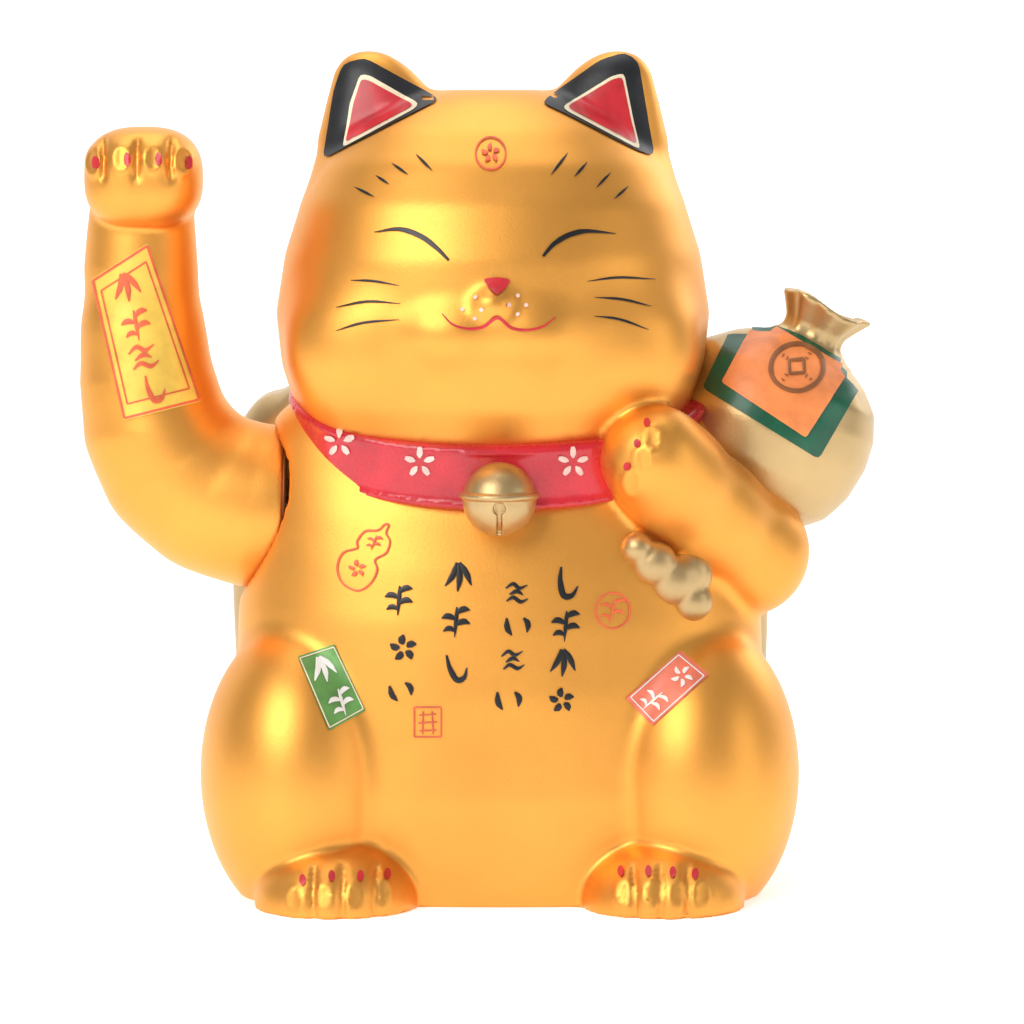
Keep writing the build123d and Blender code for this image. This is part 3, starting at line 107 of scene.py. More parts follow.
TORSO = smooth_table([(-10, 74, 48, 48), (0, 74, 48, 48), (30, 77, 52, 52), (60, 76, 51, 52), (80, 75.5, 49, 50),
                      (95, 73, 46, 48), (110, 71, 42, 45), (120, 69.5, 38, 42), (130, 67.5, 32, 38),
                      (137, 63, 27, 33), (142, 55, 22, 27), (150, 38, 12, 16)], 3.0)
HEAD = smooth_table([(112, 34, 24, 20), (122, 47, 36, 32), (130, 53.5, 43, 37), (140, 57.5, 49, 42),
                     (150, 60.7, 52, 46), (165, 62.3, 54, 50), (182, 59.6, 53, 49), (197, 54.8, 48, 45),
                     (208, 49, 41, 40), (218, 39, 31, 32), (225, 27, 20, 22), (231, 10, 8, 8)], 2.0)
EAR = smooth_table([(190, 30.5, 21.5, 18), (198, 30.5, 21, 17), (215, 30.5, 19.6, 13.5), (226, 31.4, 16.0, 10.4),
                    (233, 33.9, 11.6, 7.8), (238, 35.4, 8.2, 5.6), (243, 36.2, 5.0, 4.0)], 0.8)


def torso_field(p):
    return smax(stack(p, TORSO, 2.4), p[..., 2] - 145, 6)


def head_field(p):
    p = p + np.array((2.0, 0, 0), np.float32)  # the photo's head sits a little to the left
    d = smax(stack(p, HEAD, 2.2), p[..., 2] - 228.6, 5)
    d = smax(d, 114 - p[..., 2], 3)
    for side in (-1, 1):
        z, (out, wide, deep) = EAR
        level = p[..., 2]
        w = np.interp(level, z, wide)
        across = (p[..., 0] - side * np.interp(level, z, out)) / w
        g = np.hypot(across, p[..., 1] / np.interp(level, z, deep))
        ear = smax((g - 1) * w, level - 239.6, 7)
        ear = smax(ear, 190 - level, 4)
        ear = ear + 1.5 * np.exp(-(((p[..., 0] - side * 34) / 7) ** 2) - ((level - 219) / 9) ** 2) * (p[..., 1] < 0)
        d = smin(d, ear, 5)
    for side in (-1, 1):
        d = smin(d, ellipsoid(p, (side * 10.5, -46, 161), (14, 10, 9)), 6)
        d = smin(d, ellipsoid(p, (side * 37, -30, 155), (18, 15, 16)), 14)
    d = smin(d, ellipsoid(p, (0, -52.5, 170), (5, 5, 4)), 4)
    return d


def claw_rim(p, x, z, front):
    """The raised almond rim round a claw."""
    g = np.hypot((p[..., 0] - x) / 2.3, (p[..., 2] - z) / 3.6)
    return 0.5 * np.exp(-(((g - 1) / 0.28) ** 2)) * (p[..., 1] < front)


def groove(p, x, width, depth, low, high, front):
    """A shallow line between toes at x, from low to high, on what lies in front of front."""
    z = p[..., 2]
    fade = np.clip((z - low) / 3, 0, 1) * np.clip((high - z) / 3, 0, 1)
    return depth * np.exp(-(((p[..., 0] - x) / width) ** 2)) * fade * (p[..., 1] < front)


HOLDING = [(54, 8, 121, 17.0), (70, -12, 97, 17.5), (58, -25, 109, 16.4), (48.5, -36, 120, 15.2), (43.5, -41, 126, 15.2)]


def figure_field(p):
    torso = torso_field(p)
    d = smin(torso, head_field(p), 3)
    for side in (-1, 1):
        d = smin(d, ellipsoid(p, (side * 56.2, -22, 34.5), (29.3, 36, 44)), 4)
        d = smin(d, ellipsoid(p, (side * 46, -45, 2), (23, 21, 17)), 2.5)
    d = smin(d, chain(p, HOLDING, 5), 3)
    for x in (-51.5, -43.6, -34.5, 37.5, 44.6, 52.0):
        d = d + groove(p, x, 1.1, 1.3, -2, 15, -52)
    for x, z in ((42.5, 133.0), (39.8, 126.9), (36.8, 120.2)):
        d = d - claw_rim(p, x, z, -42)
    for x, z in ((-57.0, 4.6), (-48.6, 6.0), (-40.2, 6.0), (-32.5, 6.4), (34.6, 6.8), (42.4, 7.0), (49.6, 7.0), (56.2, 6.6)):
        d = d - claw_rim(p, x, z, -50)
    # shoulder socket, the hollow inside and the open underside
    ring = np.hypot(p[..., 1], p[..., 2] - AXLE)
    socket = smax(ring - 24.5, p[..., 0] + 58.8, 1.0)
    d = smax(d, -socket, 2.2)
    hollow = np.maximum(torso + 3.0, p[..., 2] - 122)
    hollow = np.maximum(hollow, -(p[..., 0] + 56.3) * (ring < 27))
    d = np.maximum(d, -hollow)
    d = np.maximum(d, -np.maximum(ring - 5, p[..., 0] + 50))
    return np.maximum(d, -p[..., 2])


ARM = [(-61.8, 0, 108.5, 22.4), (-71, 0, 109, 22.2), (-83.5, 0, 112.5, 21.4), (-93.5, 0, 120.5, 20.6),
       (-99.3, 0, 132, 19.4), (-101.8, 0, 146, 17.7), (-102.8, 0, 160, 16.3), (-103.2, 0, 178, 14.8),
       (-103.0, 0, 190, 13.6), (-102.4, 0, 200, 14.0)]


def arm_field(p):
    d = chain(p, ARM, 6)
    q = np.abs((p - np.array((-101.6, -7.5, 203.6), np.float32)) / np.array((16.8, 17.5, 14.6), np.float32))
    paw = ((q**2.6).sum(-1) ** (1 / 2.6) - 1) * 15
    d = smin(d, paw, 1.6)
    for x in (-111.8, -102.3, -92.9):
        d = d + groove(p, x, 1.0, 1.2, 202, 216, -12)
    for x, z in zip((-115.0, -106.5, -97.6, -89.3), (208.6, 209.5, 209.5, 208.6)):
        d = d - claw_rim(p, x, z, -8)
    return smax(d, p[..., 0] + 61.8, 0.8)


def collar_field(p):
    y = p[..., 1] * math.cos(COLLAR_TILT) + (p[..., 2] - 135) * math.sin(COLLAR_TILT)
    h = -p[..., 1] * math.sin(COLLAR_TILT) + (p[..., 2] - 135) * math.cos(COLLAR_TILT)
    t = np.clip(h / 17.5 + 0.5, 0, 1)
    wide = 59 + t * 1.2
    deep = np.where(y < 0, 49.2 - 4.9 * t, 42 + 12 * t)
    g = ((np.abs(p[..., 0]) / wide) ** 2.2 + (np.abs(y) / deep) ** 2.2) ** (1 / 2.2) + 1e-4
    d = np.hypot(p[..., 0], y) * (1 - 1 / g)
    rim = 0.7 * np.exp(-(((np.abs(h) - 7.2) / 0.8) ** 2))
    d = smax(d - rim, np.abs(h) - 8.75, 1.4)
    return np.maximum(d, -(d + 6))


def bell_field(p):
    c = np.array((0, -50.3, 115.6), np.float32)
    q = p - c
    d = np.sqrt((q**2).sum(-1)) - 10.3
    d = smin(d, np.hypot(np.hypot(q[..., 0], q[..., 1]) - 10.4, q[..., 2] - 1.2) - 0.9, 0.6)
    hole = np.hypot(q[..., 0], q[..., 2] + 1.8) - 1.7
    slot = np.maximum(np.abs(q[..., 0]) - 0.7, q[..., 2] + 1.8)
    cut = np.maximum(np.minimum(hole, slot), q[..., 1])
    return smax(d, -np.maximum(cut, -(d + 1.6)), 0.3)


def bag_frame(p):
    q = p - np.array(BAG_CENTRE, np.float32)
    across = q[..., 0] * math.cos(BAG_TILT) - q[..., 2] * math.sin(BAG_TILT)
    up = q[..., 0] * math.sin(BAG_TILT) + q[..., 2] * math.cos(BAG_TILT)
    return across, q[..., 1] / 0.92, up


BAG = smooth_table([(-30, 3), (-26.5, 12), (-24, 20.5), (-18, 26.5), (-10, 29.8), (0, 31), (8, 30), (15, 27), (21, 20),
                    (25, 12.5), (28, 9.0), (31, 9.0), (35, 11.4), (39, 14.2)], 1.0)


def bag_field(p):
    x, y, up = bag_frame(p)
    z, (radius,) = BAG
    turn = np.arctan2(y, x)
    pleat = np.clip((up - 14) / 10, 0, 1)
    r = np.interp(up, z, radius) * (1 + 0.045 * pleat * np.cos(9 * turn + 0.6))
    r = r - 0.5 * np.cos(5 * turn + 1.0) * np.clip((up + 5) / 20, 0, 1) * (up < 24)
    d = np.hypot(x, y) - r
    d = smax(d, up - 38.2 - 0.9 * np.cos(3 * turn), 1.2)
    d = smax(d, -26.2 - up, 6)
    mouth = np.maximum(np.hypot(x, y) - (r - 3.0), 33 - up)
    return smax(d, -mouth, 1.0) * 0.85


def sack_field(p):
    x, y, z = p[..., 0], p[..., 1], p[..., 2]
    crown = 141.5 - 4.5 * (np.abs(x) / 80) ** 2.5 - 0.0012 * (y - 50) ** 2
    half = 80.2 - 1.6 * ((z - 60) / 80) ** 2
    low = 1.6
    mid, tall = (crown + low) / 2, (crown - low) / 2
    r = 13.0
    q0 = np.maximum(np.abs(x) - half + r, 0)
    deep = 24.8 - 5.5 * (np.abs(x) / 80) ** 3 - 3.5 * np.abs((z - 62) / 82) ** 3
    q1 = np.maximum(np.abs(y - 50.5) - deep + 11, 0) * r / 11
    q2 = np.maximum(np.abs(z - mid) - tall + r, 0)
    inner = np.maximum.reduce([np.abs(x) - half, np.abs(y - 50.5) - deep, np.abs(z - mid) - tall])
    d = np.where(inner < -r, inner, np.sqrt(q0**2 + q1**2 + q2**2) - r)
    folds = 1.3 * np.sin(x * 0.075 + 0.9 * np.sin(z * 0.035)) * np.sin(z * 0.03 + 0.4)
    folds = folds + 0.8 * np.sin((np.abs(x) * 0.8 + z) * 0.13) * np.clip((z - 80) / 60, 0, 1)
    pull = 1.2 * np.cos(np.arctan2(z - 146, np.abs(x) - 60) * 7) * np.exp(-np.hypot(np.abs(x) - 60, z - 146) / 28)
    d = (d + 1.1 * (folds + pull) * np.clip((y - 28) / 8, 0, 1)) * 0.75
    return np.maximum(d, 0.2 - smin(torso_field(p), head_field(p), 3))


def cloth_field(p):
    d = None
    for x, y, z, r in ((38.8, -40, 100.8, 4.8), (43.5, -40, 96.5, 6.4), (49, -38.5, 91.5, 7.0), (54.2, -36.5, 85.5, 5.8),
                       (53, -36, 93, 7)):
        lobe = ellipsoid(p, (x, y, z), (r, 5.0, r))
        d = lobe if d is None else smin(d, lobe, 1.0)
    return d


# ---- Meshes from fields ----
def link(mesh, name):
    piece = bpy.data.objects.new(name, mesh)
    bpy.context.scene.collection.objects.link(piece)
    return piece


def sculpt(name, field, low, high, step, settle=3):
    """The field's zero surface as a smooth quad mesh."""
    axes = [np.arange(a, b + step, step, dtype=np.float32) for a, b in zip(low, high)]
    values = np.empty([len(a) for a in axes], np.float32)
    for i in range(0, len(axes[0]), 24):
        block = np.stack(np.meshgrid(axes[0][i:i + 24], axes[1], axes[2], indexing="ij"), -1)
        values[i:i + 24] = field(block)
    grid = openvdb.FloatGrid(3.0 * step)
    grid.copyFromArray(np.clip(values, -3 * step, 3 * step))
    points, quads = grid.convertToQuads(isovalue=0.0)
    p = (points * step + np.array(low)).astype(np.float64)
    eps = 0.25
    for _ in range(settle):
        d = field(p)
        slope = np.stack([field(p + eps * e) - field(p - eps * e) for e in np.eye(3)], -1) / (2 * eps)
        size = np.maximum((slope**2).sum(-1), 0.2)
        move = -(d / size)[:, None] * slope
        length = np.maximum(np.linalg.norm(move, axis=1), 1e-6)
        p += move * np.minimum(1, 0.6 * step / length)[:, None]
    mesh = bpy.data.meshes.new(name)
    mesh.from_pydata((p * MM).tolist(), [], quads[:, ::-1].tolist())
    mesh.validate()
    mesh.polygons.foreach_set("use_smooth", np.ones(len(mesh.polygons), bool))
    mesh.update()
    piece = link(mesh, name)
    return piece


def surface_of(*pieces):
    verts, faces = [], []
    for piece in pieces:
        start = len(verts)
        verts += [v.co / MM for v in piece.data.vertices]
        faces += [[start + i for i in poly.vertices] for poly in piece.data.polygons]
    return BVHTree.FromPolygons(verts, faces)


def lay_point(tree, x, z, lift):
    """The point of a surface that the view point sees through (x, 0, z), lifted off it."""
    start = Vector(VIEW_POINT)
    ray = (Vector((x, 0, z)) - start).normalized()
    place, normal, _, _ = tree.ray_cast(start, ray)
    if place is None:
        return None
    if normal.dot(ray) > 0:
        normal = -normal
    normal = (normal + 0.3 * Vector((0, -1, 0))).normalized()
    return place + normal * lift


paint = {}


def keep_faces(colour, verts, faces):
    store = paint.setdefault(colour, ([], []))
    start = len(store[0])
    store[0].extend(verts)
    store[1].extend([[start + i for i in face] for face in faces])


def patch(tree, colour, outline, lift=0.35, step=2.0, corner=0.0):
    """A painted area: a closed outline laid on a surface."""
    ring = [Vector(q) for q in outline]
    if corner:
        ring = rounded(ring, corner)
    fine = []
    for a, b in zip(ring, ring[1:] + ring[:1]):
        count = max(1, int((b - a).length / step))
        fine += [a.lerp(b, i / count) for i in range(count)]
    xs, zs = [q.x for q in fine], [q.y for q in fine]
    inner = []
    x = min(xs) + step / 2
    while x < max(xs):
        z = min(zs) + step / 2
        while z < max(zs):
            if inside(x, z, fine) and min((Vector((x, z)) - q).length for q in fine) > 0.5 * step:
                inner.append(Vector((x, z)))
            z += step
        x += step
    edge = [(i, (i + 1) % len(fine)) for i in range(len(fine))]
    flat, _, faces, _, _, _ = delaunay_2d_cdt(fine + inner, edge, [list(range(len(fine)))], 1, 1e-5)
    laid = [lay_point(tree, q.x, q.y, lift) for q in flat]
    faces = [list(f) for f in faces if all(laid[i] is not None for i in f)]
    near = [p if p is not None else Vector((0, 0, 0)) for p in laid]
    faces = [f for f in faces if max((near[a] - near[b]).length for a in f for b in f) < 4 * step]
    keep_faces(colour, near, faces)


def inside(x, z, ring):
    hit = False
    for a, b in zip(ring, ring[1:] + ring[:1]):
        if (a.y > z) != (b.y > z) and x < (b.x - a.x) * (z - a.y) / (b.y - a.y) + a.x:
            hit = not hit
    return hit


def rounded(ring, radius):
    out = []
    for before, here, after in zip(ring[-1:] + ring[:-1], ring, ring[1:] + ring[:1]):
        near = [here + (q - here) * min(0.45, radius / max((q - here).length, 1e-6)) for q in (before, after)]
        out += [near[0], (near[0] + 2 * here + near[1]) / 4, near[1]]
    return out


def curve(points, count=10):
    """A smooth line through points."""
    pts = [Vector(q) for q in points]
    pts = [2 * pts[0] - pts[1]] + pts + [2 * pts[-1] - pts[-2]]
    out = []
    for a, b, c, d in zip(pts, pts[1:], pts[2:], pts[3:]):
        for i in range(count):
            t = i / count
            out.append(0.5 * (2 * b + (c - a) * t + (2 * a - 5 * b + 4 * c - d) * t * t
                              + (3 * b - a - 3 * c + d) * t**3))
    return out + [pts[-2]]


def stroke(tree, colour, points, width, lift=0.4, taper=(0.15, 0.15), count=10):
    """A brush line: a ribbon that narrows towards its ends."""
    line = curve(points, count) if len(points) > 2 else [Vector(points[0]).lerp(Vector(points[1]), i / 8) for i in range(9)]
    verts, faces = [], []
    for i, q in enumerate(line):
        t = i / (len(line) - 1)
        swell = taper[0] + (1 - taper[0]) * min(1, t / 0.35) if t < 0.5 else taper[1] + (1 - taper[1]) * min(1, (1 - t) / 0.35)
        ahead = (line[min(i + 1, len(line) - 1)] - line[max(i - 1, 0)]).normalized()
        side = Vector((-ahead.y, ahead.x)) * width / 2 * swell
        for shift in (-1, 0, 1):
            place = lay_point(tree, *(q + shift * side), lift + (0.12 if shift == 0 else 0))
            verts.append(place if place is not None else Vector((0, 0, 0)))
    for i in range(len(line) - 1):
        for j in (0, 1):
            quad = [3 * i + j, 3 * i + j + 1, 3 * i + j + 4, 3 * i + j + 3]
            if all(verts[k].length > 1 for k in quad):
                faces.append(quad)
    keep_faces(colour, verts, faces)


def disc(tree, colour, x, z, radius, lift=0.35, squash=1.0, step=1.5):
    ring = [(x + radius * math.cos(t / 12 * math.pi), z + squash * radius * math.sin(t / 12 * math.pi)) for t in range(24)]
    patch(tree, colour, ring, lift, step)


# ---- Materials ----
def material(name, colour, metallic=0.0, roughness=0.4, vary=0.06, scale=60.0, bump=0.05, bump_scale=900.0,
             second=None, coat=0.0, rough_vary=0.08):
    made = bpy.data.materials.new(name)
    made.use_nodes = True
    nodes, links = made.node_tree.nodes, made.node_tree.links
    shader = nodes["Principled BSDF"]
    shader.inputs["Metallic"].default_value = metallic
    shader.inputs["Coat Weight"].default_value = coat
    shader.inputs["Coat Roughness"].default_value = 0.12
    place = nodes.new("ShaderNodeTexCoord")
    broad = nodes.new("ShaderNodeTexNoise")
    broad.inputs["Scale"].default_value = scale
    broad.inputs["Detail"].default_value = 5
    links.new(place.outputs["Object"], broad.inputs["Vector"])
    ramp = nodes.new("ShaderNodeValToRGB")
    darker = [c * (1 - 2.2 * vary) for c in colour] if second is None else second
    ramp.color_ramp.elements[0].position, ramp.color_ramp.elements[1].position = 0.32, 0.68
    ramp.color_ramp.elements[0].color = (*darker, 1)
    ramp.color_ramp.elements[1].color = (*[min(1, c * (1 + vary)) for c in colour], 1)
    links.new(broad.outputs["Fac"], ramp.inputs["Fac"])
    links.new(ramp.outputs["Color"], shader.inputs["Base Color"])
    spread = nodes.new("ShaderNodeMapRange")
    spread.inputs["To Min"].default_value = max(0.03, roughness - rough_vary)
    spread.inputs["To Max"].default_value = roughness + rough_vary
    fine = nodes.new("ShaderNodeTexNoise")
    fine.inputs["Scale"].default_value = bump_scale
    fine.inputs["Detail"].default_value = 3
    links.new(place.outputs["Object"], fine.inputs["Vector"])
    links.new(fine.outputs["Fac"], spread.inputs["Value"])
    links.new(spread.outputs["Result"], shader.inputs["Roughness"])
    relief = nodes.new("ShaderNodeBump")
    relief.inputs["Strength"].default_value = bump
    relief.inputs["Distance"].default_value = 0.0004
    links.new(fine.outputs["Fac"], relief.inputs["Height"])
    links.new(relief.outputs["Normal"], shader.inputs["Normal"])
    return made


GOLD = material("satin_gold", (0.90, 0.41, 0.08), 0.93, 0.43, 0.04, 25, 0.1, 1400, rough_vary=0.05)
CHAMPAGNE = material("satin_champagne", (0.60, 0.42, 0.20), 0.9, 0.4, 0.07, 30, 0.12, 1400, rough_vary=0.06)
RED = material("red_enamel", (0.62, 0.015, 0.03), 0.0, 0.28, 0.1, 80, 0.05, 700, coat=0.4)
PAINTS = {
    "black": material("black_ink", (0.008, 0.008, 0.009), 0, 0.35, 0.2, 200, 0.05, 900),
    "ear_black": material("ear_black", (0.012, 0.013, 0.016), 0, 0.4, 0.2, 150, 0.05, 900),
    "red": material("paint_red", (0.60, 0.02, 0.03), 0, 0.35, 0.12, 150, 0.06, 900, coat=0.2),
    "seal": material("paint_vermilion", (0.80, 0.13, 0.05), 0, 0.4, 0.12, 150, 0.06, 900),
    "white": material("paint_white", (0.82, 0.80, 0.76), 0, 0.4, 0.05, 150, 0.06, 900),
    "cream": material("paint_cream", (0.86, 0.74, 0.52), 0.1, 0.4, 0.06, 150, 0.06, 900),
    "pink": material("paint_pink", (0.90, 0.62, 0.55), 0, 0.4, 0.1, 250, 0.06, 900),
    "green": material("paint_green", (0.0, 0.10, 0.045), 0, 0.35, 0.15, 150, 0.06, 900, coat=0.2),
    "leaf": material("paint_leaf", (0.14, 0.34, 0.09), 0.2, 0.38, 0.12, 150, 0.06, 900),
    "orange": material("paint_orange", (0.95, 0.28, 0.08), 0.0, 0.4, 0.1, 150, 0.06, 900),
    "brown": material("paint_brown", (0.28, 0.10, 0.03), 0, 0.4, 0.12, 150, 0.06, 900),
    "yellow": material("paint_yellow", (0.95, 0.62, 0.10), 0.2, 0.38, 0.08, 150, 0.06, 900),
    "coral": material("paint_coral", (0.85, 0.20, 0.12), 0.1, 0.4, 0.1, 150, 0.06, 900),
}

# ---- Sculpted pieces ----
COARSE = 1.0
figure = sculpt("figure_skin", figure_field, (-88, -69, -2), (91, 57, 242), 1.25 * COARSE)
arm = sculpt("arm_skin", arm_field, (-122, -28, 82), (-58, 26, 221), 1.0 * COARSE)
collar = sculpt("collar_skin", collar_field, (-63, -50, 104), (63, 62, 164), 1.0 * COARSE)
bell = sculpt("bell_skin", bell_field, (-13, -63, 103), (13, -38, 128), 0.45 * COARSE)
bag = sculpt("bag_skin", bag_field, (40, -28, 96), (114, 40, 176), 0.9 * COARSE)
sack = sculpt("sack_skin", sack_field, (-84, 22, -1), (84, 79, 147), 1.5 * COARSE)
cloth = sculpt("cloth_end_skin", cloth_field, (28, -50, 72), (70, -26, 112), 0.8 * COARSE)
for piece, finish, slot in ((figure, GOLD, "gold_shell"), (arm, GOLD, "gold_shell"), (collar, RED, "red_enamel"),
                            (bell, CHAMPAGNE, "gold_trim"), (bag, CHAMPAGNE, "bag_cloth"), (sack, CHAMPAGNE, "bag_cloth"), (cloth, CHAMPAGNE, "bag_cloth")):
    piece.data.materials.append(finish)
    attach(piece, "arm" if piece is arm else "figure")
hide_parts("front_shell", "rear_shell")
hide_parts("arm_front_shell", "arm_rear_shell")
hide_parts("collar_band")
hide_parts("collar_bell")
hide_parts("money_bag", "bag_label")
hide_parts("back_sack")
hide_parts("cloth_end")

on_figure = surface_of(figure)
on_arm = surface_of(arm)
on_bag = surface_of(bag)
on_collar = surface_of(collar)

# ---- Painted detail ----
def mark(tree, colour, kind, x, z, size, turn=0.0, weight=1.0, lift=0.45):
    """A generic brush motif: leaves, ripples or a blossom."""
    c, s = math.cos(turn), math.sin(turn)
    for points, width in MOTIFS[kind]:
        laid = [(x + size * (a * c - b * s), z + size * (a * s + b * c)) for a, b in points]
        stroke(tree, colour, laid, width * size * weight, lift, (0.35, 0.2), 6)


MOTIFS = {
    "sprig": [([(0.05, 1), (0, 0.2), (-0.1, -1)], 0.24), ([(0, 0.55), (0.45, 0.85), (0.9, 0.8)], 0.36),
              ([(0, 0.15), (-0.5, 0.4), (-0.95, 0.25)], 0.36), ([(-0.03, -0.2), (0.45, 0.05), (0.9, -0.1)], 0.36),
              ([(-0.06, -0.6), (-0.45, -0.4), (-0.85, -0.6)], 0.32)],
    "bamboo": [([(-0.1, 0.95), (-0.3, 0.2), (-0.85, -0.6)], 0.36), ([(0.0, 0.9), (0.1, 0.0), (-0.05, -0.95)], 0.36),
               ([(0.1, 0.95), (0.5, 0.3), (0.85, -0.55)], 0.36)],
    "ripple": [([(-0.9, 0.45), (-0.3, 0.8), (0.2, 0.45), (0.85, 0.7)], 0.3), ([(-0.6, -0.05), (0, 0.2), (0.5, -0.1)], 0.3),
               ([(-0.85, -0.6), (-0.3, -0.3), (0.3, -0.65), (0.9, -0.4)], 0.3)],
    "plum": [([(0.25 * math.cos(a), 0.25 * math.sin(a)), (0.55 * math.cos(a + 0.2), 0.55 * math.sin(a + 0.2)),
               (0.9 * math.cos(a), 0.9 * math.sin(a))], 0.42) for a in [0.3 + 1.2566 * k for k in range(5)]],
    "hook": [([(-0.35, 0.95), (-0.4, 0.1), (-0.2, -0.75), (0.3, -0.75), (0.65, -0.2)], 0.34)],
    "pair": [([(-0.7, 0.5), (-0.65, -0.2), (-0.35, -0.7)], 0.36), ([(0.45, 0.5), (0.75, 0.1), (0.7, -0.5)], 0.36)],
}

for points, width in (([(-36.1, 187.8), (-28.9, 188.7), (-22.8, 186.7), (-18.4, 183.5), (-14.7, 179.8)], 1.5),
                      ([(12.4, 180.9), (15.5, 184.4), (19.9, 187.0), (25.1, 188.1), (33.2, 187.4)], 1.5)):
    stroke(on_figure, "black", points, width, 0.4, (0.12, 0.5) if points[0][0] < 0 and points[0][0] < -30 else (0.5, 0.12))
for a, b in (((-24.0, 210.1), (-19.4, 205.5)), ((-30.9, 207.5), (-26.3, 204.3)), ((-35.5, 204.0), (-31.8, 201.6)), ((-41.6, 200.7), (-36.1, 198.0)),
             ((19.4, 210.4), (14.7, 204.3)), ((25.0, 207.8), (21.4, 203.7)), ((31.8, 204.9), (27.7, 200.6)), ((36.8, 200.9), (32.9, 197.4))):
    stroke(on_figure, "black", [a, b], 0.75, 0.35, (0.2, 0.2))
for line in ([(-42.8, 174.0), (-36.4, 173.8), (-28.9, 172.5)], [(-47.1, 166.2), (-38.1, 167.9), (-28.6, 167.3)], [(-47.1, 159.5), (-39.3, 161.8), (-28.9, 162.7)],
             [(25.1, 173.7), (34.1, 174.8), (44.7, 174.3)], [(27.2, 169.1), (35.3, 168.5), (43.6, 166.5)],
             [(27.2, 163.7), (34.7, 162.7), (42.8, 159.8)]):
    stroke(on_figure, "black", line, 0.7, 0.35, (0.2, 0.2))
patch(on_figure, "red", [(-4.9, 174.4), (-0.9, 175.0), (3.2, 174.3), (2.0, 172.0), (-0.9, 169.4), (-3.2, 171.7)], 0.5, 1.2, corner=1.0)
stroke(on_figure, "red", [(-16.6, 164.3), (-13.6, 161.3), (-9.0, 160.0), (-4.6, 160.7), (-0.7, 163.3), (3.2, 160.4),
                          (7.7, 159.7), (12.4, 160.7), (15.9, 163.3)], 0.95, 0.4, (0.35, 0.35), 5)
for x, z in ((5.1, 169.6), (2.5, 166.9), (7.6, 166.8), (5.1, 164.2), (-10.7, 165.6), (-5.2, 165.6), (-7.2, 163.0), (-6.9, 169.1)):
    disc(on_figure, "pink", x, z, 0.6, 0.35, step=0.6)

# Ears: black surround, cream line, red inside. The cream patch reaches past the red all round; along the red's lower
# edge it is a painted highlight as well as cream paint
for outer, cream, inner in (
    ([(-50.6, 208.7), (-47.4, 228.3), (-44.8, 235.8), (-38.7, 237.6), (-17.1, 225.7), (-22.8, 222.8), (-45.4, 211.3)],
     [(-44.8, 211.8), (-42.8, 224.8), (-39.9, 232.9), (-37.3, 232.6), (-23.1, 224.3), (-24.3, 222.8)],
     [(-43.9, 213.3), (-41.9, 224.3), (-39.6, 231.5), (-37.6, 231.2), (-24.9, 224.1), (-25.4, 223.1)]),
    ([(11.8, 224.8), (28.9, 237.0), (35.8, 239.0), (39.6, 236.4), (44.2, 209.5), (40.2, 210.7), (17.9, 222.0)],
     [(17.9, 223.4), (32.1, 232.4), (35.5, 233.2), (39.9, 211.5), (38.7, 211.8), (19.1, 222.2)],
     [(19.4, 223.5), (32.4, 231.5), (35.0, 232.1), (39.0, 212.7), (20.2, 222.5)])):
    patch(on_figure, "ear_black", outer, 0.45, 1.1, corner=2.0)
    # cream outline paint, which along the lower edge of the red also serves as a painted highlight
    patch(on_figure, "cream", cream, 0.6, 1.1, corner=1.2)
    patch(on_figure, "red", inner, 0.75, 1.1, corner=1.0)

# Forehead seal
ring = [(-2.6 + 4.3 * math.cos(t / 10 * math.pi), 210.4 + 4.6 * math.sin(t / 10 * math.pi)) for t in range(21)]
stroke(on_figure, "seal", ring, 0.55, 0.35, (1, 1), 2)
mark(on_figure, "seal", "plum", -2.6, 210.4, 3.1)

# Belly: four columns of brush motifs and the seals round them
for kind, x, z, size, turn in (
    ("hook", 19.4, 86.4, 4.6, 0), ("sprig", 19.1, 73.7, 4.2, 0), ("bamboo", 18.2, 63.0, 4.0, 0), ("plum", 17.9, 52.0, 3.9, 0),
    ("ripple", 4.9, 83.2, 3.4, 0), ("pair", 4.9, 74.0, 4.0, 0), ("ripple", 3.8, 63.6, 3.4, 0.1), ("pair", 2.3, 52.3, 4.1, 0),
    ("bamboo", -12.1, 88.1, 4.2, 0), ("sprig", -12.7, 74.9, 4.2, 0), ("hook", -12.7, 61.6, 4.3, 0.3),
    ("sprig", -29.2, 81.2, 4.1, 0), ("plum", -28.0, 67.3, 4.2, 0), ("pair", -28.9, 54.9, 3.8, 0.2)):
    mark(on_figure, "black", kind, x, z, size * 1.06, turn, 1.1)
gourd = [(-33.2, 103.5), (-35.3, 101.7), (-39.0, 101.4), (-41.3, 98.5), (-41.3, 96.5), (-45.4, 95.1), (-47.1, 90.7), (-45.4, 86.1), (-41.0, 84.1),
         (-37.3, 86.4), (-35.5, 90.2), (-36.1, 93.1), (-32.9, 95.1), (-31.8, 98.5), (-32.9, 100.9), (-32.1, 103.2), (-33.2, 103.5)]
stroke(on_figure, "seal", gourd, 0.6, 0.35, (1, 1), 4)
mark(on_figure, "seal", "sprig", -36.4, 98.0, 2.3, -0.3)
mark(on_figure, "seal", "plum", -41.3, 90.5, 2.9, 0)
ring = [(32.7 + 5.0 * math.cos(t / 10 * math.pi), 78.3 + 5.2 * math.sin(t / 10 * math.pi)) for t in range(21)]
stroke(on_figure, "seal", ring, 0.5, 0.35, (1, 1), 2)
mark(on_figure, "seal", "sprig", 32.7, 78.3, 4.0, -0.15, 0.55)
